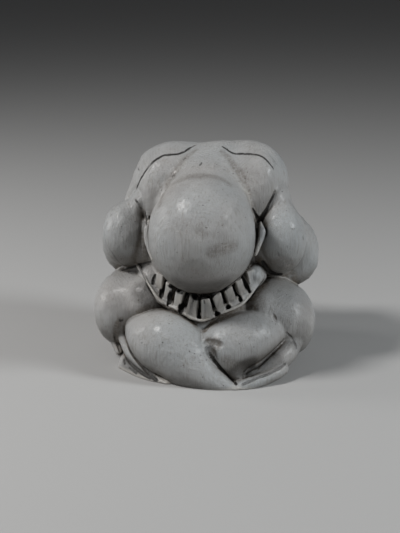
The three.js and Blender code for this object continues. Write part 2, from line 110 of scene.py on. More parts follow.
class Limb:
    """a chain of round cones along a smooth path; rows are x, y, z, radius"""

    def __init__(self, rows, n=5):
        q = smooth_path(rows, n)
        q[:, 3] = np.maximum(q[:, 3], 0.02)
        self.a, self.ra = q[:-1, :3], q[:-1, 3]
        self.ab, self.dr = q[1:, :3] - q[:-1, :3], q[1:, 3] - q[:-1, 3]
        self.l2 = np.maximum((self.ab**2).sum(1), 1e-12)
        self.clo = np.minimum(q[:-1, :3] - q[:-1, 3:4], q[1:, :3] - q[1:, 3:4])
        self.chi = np.maximum(q[:-1, :3] + q[:-1, 3:4], q[1:, :3] + q[1:, 3:4])
        self.lo, self.hi = self.clo.min(0), self.chi.max(0)

    def near(self, lo, hi, reach):
        q = np.maximum(np.maximum(lo - self.chi, self.clo - hi), 0)
        d = np.sqrt((q * q).sum(1))
        return d <= max(reach, d.min() + 1e-6)

    def d(self, p, s=slice(None)):
        a, ra, ab, dr, l2 = self.a[s], self.ra[s], self.ab[s], self.dr[s], self.l2[s]
        v2 = (p * p).sum(1)[:, None] - 2 * p @ a.T + (a * a).sum(1)[None]
        vab = p @ ab.T - (a * ab).sum(1)[None]
        t = np.clip(vab / l2, 0, 1)
        return (np.sqrt(np.maximum(v2 - 2 * t * vab + t * t * l2, 0)) - (ra + dr * t)).min(1)


class Bar:
    """a finger: a bar with rounded edges that widens towards its root and is a
    little waisted, with its front face across local -Y"""

    def __init__(self, c, top, root, depth, half, lean, turn, edge=0.55, waist=0.0, nail=0.0):
        self.c, self.s, self.m, self.edge = np.array(c, float), (top, root, depth, half), turned((0, lean, turn)), edge
        self.waist, self.nail = waist, nail
        k = np.abs(self.m) @ np.array([max(top, root), depth, half])
        self.lo, self.hi = self.c - k, self.c + k

    def d(self, p):
        q = (p - self.c) @ self.m
        top, root, depth, half = self.s
        t = np.clip(q[:, 2] / half * 0.5 + 0.5, 0, 1)
        w = root + (top - root) * t - self.waist * np.sin(np.pi * t) ** 2
        up = half - self.nail * np.maximum(0, 1 - (q[:, 0] / top) ** 2)
        a = np.stack([np.abs(q[:, 0]) - w, np.abs(q[:, 1]) - depth,
                      np.where(q[:, 2] > 0, q[:, 2] - up, -q[:, 2] - half)], 1) + self.edge
        return np.sqrt((np.maximum(a, 0) ** 2).sum(1)) + np.minimum(a.max(1), 0) - self.edge


class Ground:
    lo, hi = np.array([-1e3, -1e3, 0.0]), np.array([1e3, 1e3, 1e3])

    def d(self, p):
        return -p[:, 2]


def reach_of(group):
    lo, hi = np.full(3, 1e9), np.full(3, -1e9)
    for mode, _, mass in group:
        if mode == "add":
            lo, hi = np.minimum(lo, mass.lo), np.maximum(hi, mass.hi)
    return lo, hi


def apart(lo1, hi1, lo2, hi2):
    q = np.maximum(np.maximum(lo1 - hi2, lo2 - hi1), 0)
    return math.sqrt((q * q).sum())


def joined(d, v, mode, k):
    if mode == "add":
        return v if d is None else smin(d, v, k)
    if d is None:
        return None
    return smax(d, -v if mode == "cut" else v, k)


def group_distance(p, group, lo, hi, reach):
    d = None
    for mode, k, mass in group:
        if mode != "within" and apart(lo, hi, mass.lo, mass.hi) > reach + k:
            continue
        v = mass.d(p, mass.near(lo, hi, reach + k)) if isinstance(mass, Limb) else mass.d(p)
        d = joined(d, v, mode, k)
    return d


class Field:
    def __init__(self, figure):
        self.groups = [(mode, k, g, *reach_of(g)) for mode, k, g in figure]

    def block(self, p, reach):
        lo, hi = p.min(0), p.max(0)
        d = None
        for mode, k, g, glo, ghi in self.groups:
            if mode != "within" and apart(lo, hi, glo, ghi) > reach + k:
                continue
            v = group_distance(p, g, lo, hi, reach)
            if v is not None:
                d = joined(d, v, mode, k)
        return reach if d is None else d

    def __call__(self, p, reach=9.0, side=14.0):
        key = np.floor(p / side).astype(np.int64) + 512
        key = (key[:, 0] * 1024 + key[:, 1]) * 1024 + key[:, 2]
        order = np.argsort(key, kind="stable")
        cuts = np.concatenate([[0], np.nonzero(np.diff(key[order]))[0] + 1, [len(p)]])
        out = np.empty(len(p))

        def job(i):
            rows = order[cuts[i]:cuts[i + 1]]
            out[rows] = self.block(p[rows], reach)

        with ThreadPoolExecutor(4) as pool:
            list(pool.map(job, range(len(cuts) - 1)))
        return out


def slopes(f, p, reach=3.0, e=0.04):
    n = len(p)
    v = f(np.concatenate([p, p + [e, 0, 0], p + [0, e, 0], p + [0, 0, e]]), reach)
    d = v[:n]
    return d, np.stack([v[n:2 * n] - d, v[2 * n:3 * n] - d, v[3 * n:] - d], 1) / e


def settled(f, p, most, steps=1):
    """moves points onto the surface"""
    for _ in range(steps):
        d, g = slopes(f, p)
        s = g * (d / np.maximum((g * g).sum(1), 0.05))[:, None]
        length = np.sqrt((s * s).sum(1))
        p = p - s * np.minimum(1, most / np.maximum(length, 1e-9))[:, None]
    return p


def skin(f, lo, hi, h, block=4):
    """surface nets over the cells near the surface: points and quads"""
    lo = np.array(lo, float)
    n = np.ceil((np.array(hi, float) - lo) / (h * block)).astype(int) * block + 1
    axis = [lo[i] + h * np.arange(n[i]) for i in range(3)]
    coarse = [a[::block] for a in axis]
    dc = f(np.stack(np.meshgrid(*coarse, indexing="ij"), -1).reshape(-1, 3)).reshape([len(c) for c in coarse])
    small, sign = np.abs(dc), dc < 0
    low = small[:-1, :-1, :-1].copy()
    mixed = np.zeros(low.shape, bool)
    corners = [(x, y, z) for z in (0, 1) for y in (0, 1) for x in (0, 1)]
    for c in corners:
        s = tuple(slice(c[i], c[i] + low.shape[i]) for i in range(3))
        low = np.minimum(low, small[s])
        mixed |= sign[s] != sign[:-1, :-1, :-1]
    live = np.argwhere((low < h * block * 1.9) | mixed)
    far = dc
    for ax in range(3):
        far = np.repeat(far, block, ax)
    field = np.where(far[:n[0], :n[1], :n[2]] < 0, -99, 99).astype(np.float32)
    wanted = np.zeros(n, bool)
    steps = np.arange(block + 1)
    for x in steps:
        for y in steps:
            for z in steps:
                wanted[live[:, 0] * block + x, live[:, 1] * block + y, live[:, 2] * block + z] = True
    rows = np.argwhere(wanted)
    points = np.stack([axis[i][rows[:, i]] for i in range(3)], 1)
    values = np.empty(len(points))
    for s in range(0, len(points), 400000):
        values[s:s + 400000] = f(points[s:s + 400000])
    field[rows[:, 0], rows[:, 1], rows[:, 2]] = values
    inside = field < 0
    count = np.zeros(n - 1, np.int8)
    for c in corners:
        count += inside[c[0]:n[0] - 1 + c[0], c[1]:n[1] - 1 + c[1], c[2]:n[2] - 1 + c[2]]
    cells = np.argwhere((count > 0) & (count < 8))
    number = np.full(count.shape, -1, np.int64)
    number[cells[:, 0], cells[:, 1], cells[:, 2]] = np.arange(len(cells))
    at = [field[cells[:, 0] + c[0], cells[:, 1] + c[1], cells[:, 2] + c[2]].astype(float) for c in corners]
    total, crossings = np.zeros((len(cells), 3)), np.zeros(len(cells))
    for i, a in enumerate(corners):
        for j in range(i + 1, 8):
            b = corners[j]
            if sum(abs(a[k] - b[k]) for k in range(3)) != 1:
                continue
            cross = (at[i] < 0) != (at[j] < 0)
            t = np.where(cross, at[i] / np.where(cross, at[i] - at[j], 1), 0)
            total += np.where(cross[:, None], np.array(a, float) + np.array([b[k] - a[k] for k in range(3)]) * t[:, None], 0)
            crossings += cross
    points = lo + h * (cells + total / crossings[:, None])
    quads = []
    for ax in range(3):
        first, second = [slice(None)] * 3, [slice(None)] * 3
        first[ax], second[ax] = slice(0, n[ax] - 1), slice(1, n[ax])
        a, b = inside[tuple(first)], inside[tuple(second)]
        e = np.argwhere(a != b)
        u, v = [(1, 2), (2, 0), (0, 1)][ax]
        e = e[(e[:, u] > 0) & (e[:, v] > 0) & (e[:, u] < n[u] - 1) & (e[:, v] < n[v] - 1)]

        def corner(du, dv):
            g = e.copy()
            g[:, u] -= du
            g[:, v] -= dv
            return number[g[:, 0], g[:, 1], g[:, 2]]

        q = np.stack([corner(1, 1), corner(0, 1), corner(0, 0), corner(1, 0)], 1)
        out = ~a[e[:, 0], e[:, 1], e[:, 2]]
        q[out] = q[out][:, ::-1]
        quads.append(q)
    return points, np.concatenate(quads)


# ---------------------------------------------------------------- the masses


def add(k, mass):
    return ("add", k, mass)


def cut(k, mass):
    return ("cut", k, mass)


ell, tube = Ellipsoid, Limb

# the back, from the shoulders down to the seat
TORSO = [
  add(0, ell([2.5, 10, 60], [33, 28.5, 38])), # rib cage and belly
  add(8, ell([1, 16, 22], [32, 25, 26])), # pelvis
  add(7, ell([-14.8, 5, 77.6], [18.9, 19, 21.1], [0, -4, 0])), # left shoulder
  add(7, ell([19, 6, 79.7], [18.8, 19.5, 20], [0, 4, 0])), # right shoulder
  add(4, tube([[-23, 6, 86.7, 7.4], [-27.7, 6, 79.7, 6.5], [-32.7, 5, 72.3, 5.1], [-35.2, 3, 67.1, 3.7]], 4)), # slope from the left shoulder to the arm
  add(7, ell([-14, 24, 17], [20, 18, 19])), # left buttock
  add(3, ell([15, 24, 17], [20, 18, 19])), # right buttock
  add(8, ell([-33, 20, 17], [15, 18, 15])), # left hip
  add(8, ell([31, 20, 16.5], [15, 18, 14.5])), # right hip
  add(6, ell([-15.5, 25, 74], [13, 12, 15], [-12, 8, -14])), # left shoulder blade
  add(6, ell([19, 25, 74], [13, 12, 15], [-12, -8, 14])), # right shoulder blade
  cut(3.5, tube([[2, 30, 90, 1.2], [2, 38.5, 74, 1.6], [1.5, 41.6, 56, 1.8], [1, 42.6, 38, 1.8], [0.6, 43.5, 22, 2], [0.3, 43.2, 6, 2]], 5)), # groove of the spine
]
# what fills the hollows between the head, the arms and the knees
BETWEEN = [
  add(0, ell([-26, -8, 53.9], [6.9, 9, 14.1])), # left of the head
  add(0, ell([27.6, -7, 55.4], [6.8, 9, 14])), # right of the head
  add(4, ell([-32, -4, 42.6], [6, 8, 4.8])), # under the left arm
  add(4, ell([32.9, 0, 41.8], [7.4, 8, 4.7])), # under the right arm
  add(2, ell([0, -7, 44], [25.5, 19.5, 25])), # chest, behind the hands
  add(4, ell([-27, 9, 45], [11, 14, 15])), # between the left arm and the side
  add(4, ell([29, 10, 44], [11, 14, 15])), # between the right arm and the side
]
# leaf-shaped muscle left of the neck
LEAF_L = [
  add(0, ell([-18.7, -6, 78.5], [10, 9.5, 16.3], [-14, -14, 8])), # blade
  add(5, ell([-12.7, -2.5, 84.8], [7.3, 9.5, 9.3], [-20, 0, 0])), # its inner top
  add(4, tube([[-22.66, -7, 77.2, 4.53], [-23.84, -10, 71.82, 3.39], [-24.23, -13.5, 67.07, 1.35]], 4)), # its tip
]
# leaf-shaped muscle right of the neck
LEAF_R = [
  add(0, ell([23.1, -5.6, 80.4], [9.9, 9.5, 16.1], [-14, 12, -8])), # blade
  add(5, ell([17.3, -1.5, 85.4], [7.2, 9.5, 9.3], [-20, 0, 0])), # its inner top
  add(4, tube([[25.85, -6, 78.3, 5.39], [26.14, -9, 73.47, 3.58], [25.79, -12.5, 68.77, 1.34]], 4)), # its tip
]
# the bowed head, crown to the front, and the nape
HEAD = [
  add(0, ell([1.4, -24.5, 62.7], [23.6, 24.5, 26.5], [10, 0, 0])), # head
  add(7, tube([[4.6, 4, 89.4, 9.4], [3.5, -2.2, 84.3, 13.2], [2, -9, 76.2, 17.4]], 6)), # nape
]
# left upper arm, down to the elbow on the knee
ARM_L = [
  add(0, ell([-36.4, -8, 58.3], [10.1, 12.5, 14.6], [0, 5, 0])), # front of the arm
  add(3, ell([-30.2, -4, 70.3], [5.5, 10, 9.4], [0, 26, 0])), # fold at the armpit
  add(5, ell([-32.2, -7, 56.3], [6.2, 10, 12.7])), # side of the arm by the head
  add(1.4, ell([-38.2, 5, 52], [11, 12, 15.9])), # back of the arm
  add(3, tube([[-42.92, 2, 48.78, 3.99], [-39.54, 0, 43.36, 3.51], [-36.61, -2, 40.87, 2.34]], 4)), # lower edge of the back of the arm
  add(6, tube([[-21, 10, 76, 11], [-30, 12, 63, 10.5], [-36.5, 10, 50, 9.5]], 4)), # from the shoulder to the elbow
]
# right upper arm
ARM_R = [
  add(0, ell([36.2, -8, 59.2], [10.4, 12.5, 15.3], [0, -8, 0])), # front of the arm
  add(3, ell([33.4, -2, 71.6], [6.6, 10, 13], [0, -8, 0])), # fold at the armpit
  add(5, ell([32.6, -8, 58.1], [5.9, 10, 12.5])), # side of the arm by the head
  add(4, ell([35.4, -6, 47.4], [5.9, 9, 5.1])), # lower end of the front
  add(1.2, ell([39.7, 7, 49.2], [12.1, 11.5, 16.7], [0, -10, 0])), # back of the arm
  add(3, tube([[45, 5, 43.7, 5.6], [41.1, 2, 39.6, 5.1], [38, -1, 38.4, 3.7]], 4)), # lower edge of the back of the arm
  add(6, tube([[24, 11, 76, 11], [31, 14, 62, 10.5], [37.5, 12, 50, 9.5]], 4)), # from the shoulder to the elbow
]
# the lap between the thighs
LAP = [
  add(0, ell([1, -8, 14], [34, 28, 24])),
]
# left thigh and knee
LEG_L = [
  add(0, ell([-37.1, -10, 23.3], [13.5, 17, 17.6], [0, 4, 0])), # knee
  add(4, ell([-24.7, -15, 28.8], [12.8, 14, 12.7])), # inner thigh
  add(4, ell([-32.9, -7.5, 34.4], [6.5, 9, 8.1])), # top of the knee, under the arm
  add(7, tube([[-30, 22, 19, 16.5], [-35.5, 5, 23, 15]], 4)), # thigh
]
# right thigh and knee
LEG_R = [
  add(0, ell([38.4, -9, 19.9], [13.3, 17, 16.9], [0, -4, 0])), # knee
  add(4, ell([29.5, -14, 24.8], [12.3, 13, 11.7])), # inner thigh
  add(4, ell([32.5, -6, 31], [7.8, 10, 8.7])), # top of the knee, under the arm
  add(7, tube([[28, 22, 18, 15.5], [33.5, 5, 20, 14]], 4)), # thigh
]
# ridge under the right shin
RIDGE_R = [
  add(0, tube([[41.13, -17, 16.73, 3.63], [41.48, -22, 12.28, 4.73], [37.86, -28.5, 8.76, 5.13], [32.4, -33, 5.92, 4.44], [26.04, -36.5, 3.17, 3.54], [19.99, -38, 0.63, 2.65]], 6)),
]
# left foot, a strip along the ground at the right
FOOT_L = [
  add(0, tube([[38.44, -33.5, 4.83, 2.79], [35.36, -37.2, 3.88, 2.82], [29.93, -41, 2.27, 2.89], [24.06, -44.2, 0.8, 3.06], [18.53, -46, -0.53, 3.27]], 5)),
]
# right shin, behind at the crossing
SHIN_R = [
  add(0, tube([[38.2, -15, 20.7, 4.1], [30.2, -22.5, 18.2, 9.2], [22.1, -28.5, 16.6, 12.3], [14.8, -31.5, 14.5, 13.1], [8.7, -32.5, 11.8, 12]], 6)), # shin
  add(3, tube([[11.52, -34, 9.12, 8.89], [16.4, -38, 5.18, 5.3], [19.36, -41, 2.23, 2.64]], 4)), # where it goes under the other
]
# right foot, low at the left
FOOT_R = [
  add(0, tube([[-32.8, -26, 0.5, 4.2], [-27.3, -32, -0.3, 4.1], [-20.3, -38, -0.8, 4], [-11.5, -43, -1.8, 3.5]], 5)), # foot
  add(2, tube([[-33.14, -24.5, 3.12, 2.97], [-28.35, -29.5, 1.56, 2.95], [-22.08, -35.5, 0.52, 2.69]], 5)), # instep
]
# ridges under the left shin
RIDGE_L = [
  add(0, tube([[-35.18, -19.5, 19.21, 2.75], [-34.36, -22.5, 13.02, 3.02], [-31.68, -27, 8.45, 2.73], [-27.66, -31.8, 5.1, 2.25], [-22.85, -36.2, 2.67, 2.01], [-16.76, -40.5, 0.56, 2], [-9.61, -43.5, -1.48, 1.99]], 6)), # near the shin
  add(1.5, tube([[-41.48, -15, 15.49, 1.85], [-39.52, -18.5, 9.45, 2.12], [-37.05, -22, 5.68, 1.75]], 5)), # near the knee
]
# left shin, in front at the crossing
SHIN_L = [
  add(0, tube([[-28.79, -21.5, 19.18, 5.47], [-21.92, -27, 16.55, 10.83], [-14.86, -31.5, 15.1, 14.32], [-8.51, -35, 12.84, 14.01], [-2.61, -39, 7.5, 11.27], [4.99, -43, 3.73, 7.46], [11.89, -45.5, 1.29, 4.59], [16.83, -46.5, 0.05, 2.62]], 5)),
]
# the cupped hands under the head, behind the fingers
HANDS = [
  add(0, tube([[-25.47, -12, 42.19, 1.83], [-23.41, -13.5, 39.36, 3.66], [-18.73, -17, 35.82, 4.55], [-11.73, -21.2, 31.69, 4.74], [-4.53, -24, 30.26, 4.94], [1.98, -25.5, 30.29, 5.01], [8.11, -24, 31.22, 4.92], [14.56, -21.2, 34.11, 4.71], [19.6, -17.5, 38.1, 4.5], [23.33, -14, 41.67, 3.61], [24.96, -12, 43.97, 2.26]], 5)), # bed of the fingers
  add(2, tube([[-28.42, -11, 42.75, 1.83], [-22.52, -19, 38.18, 2.04], [-17.44, -25.5, 33.29, 2.02], [-11.96, -29, 31.09, 2], [-6.22, -31.5, 29.79, 1.99], [-1.12, -33, 28.62, 1.99], [3.4, -33.6, 28.3, 1.98], [9.43, -32, 30.34, 1.99], [15.38, -29.5, 32.79, 1.99], [20.1, -25.5, 35.43, 2], [23.85, -20, 38.78, 2.01], [27.02, -15, 42.1, 1.8]], 5)), # ledge behind the rim
  add(4, ell([-23.5, -13, 40.6], [4.1, 7, 5.2], [0, 30, 0])), # left palm
  add(3, ell([25, -14.6, 43.6], [3.7, 7, 4.6], [0, -35, 0])), # right palm
  add(4, ell([0.6, -14, 39], [22.7, 13, 13])), # heels of the hands
]
# left ear
EAR_L = [
  add(0, tube([[-23.62, -17, 66.55, 0.72], [-23.91, -19, 63.35, 1.43], [-23.68, -20.4, 59.56, 1.52], [-22.5, -22.4, 55.51, 1.34], [-20.84, -24, 50.91, 0.8]], 5)),
]
# right ear
EAR_R = [
  add(0, tube([[26.63, -17, 67.38, 0.62], [27.46, -19.2, 64.3, 1.63], [27.13, -20.2, 61.13, 1.5], [26.03, -21.4, 57.52, 1.06], [25, -22.4, 54.1, 0.57]], 5)),
]

FINGER_DEPTH = 3.4
# fingers, from the left: centre x, y, z, half width at the tip, half width at
# the root, half length, lean and turn in degrees, waist and hollow of the tip
FINGERS = [
  [-16.31, -21.68, 39.62, 2.14, 2.01, 4.88, 8.6, -34],
  [-11.98, -25.94, 36.85, 1.86, 1.77, 4.81, 12.6, -26],
  [-7.29, -29.57, 34.87, 2.07, 1.89, 4.66, 12.4, -18],
  [-1.21, -32.23, 33.02, 1.97, 2.67, 4.78, 7, -7],
  [4.5, -32.81, 32.55, 1.88, 2.8, 4.51, -8.2, 5],
  [9.32, -31.3, 34.43, 2.01, 1.79, 4.5, -16.2, 14],
  [13.62, -28.05, 36.77, 2.06, 1.84, 4.51, -16.3, 22],
  [17.61, -24.06, 39.33, 1.72, 1.68, 4.57, -18.1, 30],
  [21.78, -18.68, 42.25, 2.09, 1.69, 4.48, -11.9, 34],
]
# the raised rim of the cupped hands, from the left palm round to the right
RIM = [
  [-29.34, -14.6, 44.94],
  [-26.07, -19.4, 42.13],
  [-22.76, -24.2, 39.26],
  [-19.86, -27.2, 36.26],
  [-17.07, -29, 33.46],
  [-14.05, -30, 32.03],
  [-9.64, -32.6, 31.27],
  [-5.88, -34, 29.55],
  [-1.7, -35.4, 27.76],
  [3.25, -36, 27.05],
  [8, -35, 28.49],
  [11.44, -34.2, 30.21],
  [16.07, -32, 31.9],
  [19.23, -30, 33.05],
  [21.79, -27, 34.99],
  [24.51, -22.6, 37.92],
  [27.8, -16.5, 41.91],
]
RIM_RADIUS = 0.58

bars = [add(0.35, Bar(q[:3], q[3], q[4], FINGER_DEPTH, q[5], q[6], q[7], 0.5, *(q[8:] or (0, 0)))) for q in FINGERS]
edge = [add(0, Limb([(*p, RIM_RADIUS) for p in RIM], 5))]

ORDER = [
    (TORSO, 0),
    (BETWEEN, 2),
    (LEAF_L, 1.4),
    (LEAF_R, 1.4),
    (HEAD, 4.5),
    (ARM_L, 1),
    (ARM_R, 1),
    (LAP, 3),
    (LEG_L, 1.5),
    (LEG_R, 1.5),
    (RIDGE_R, 1.2),
    (FOOT_L, 0.6),
    (SHIN_R, 0.8),
    (FOOT_R, 0.7),
    (RIDGE_L, 0.7),
    (SHIN_L, 0.5),
    (HANDS, 0.6),
    (FINGERS, 0.35),
    (RIM, 0.5),
    (EAR_L, 0.5),
    (EAR_R, 0.5),
]
ORDER = [(bars, k) if g is FINGERS else (edge, k) if g is RIM else (g, k) for g, k in ORDER]
plain = Field([("add", k, g) for g, k in ORDER])

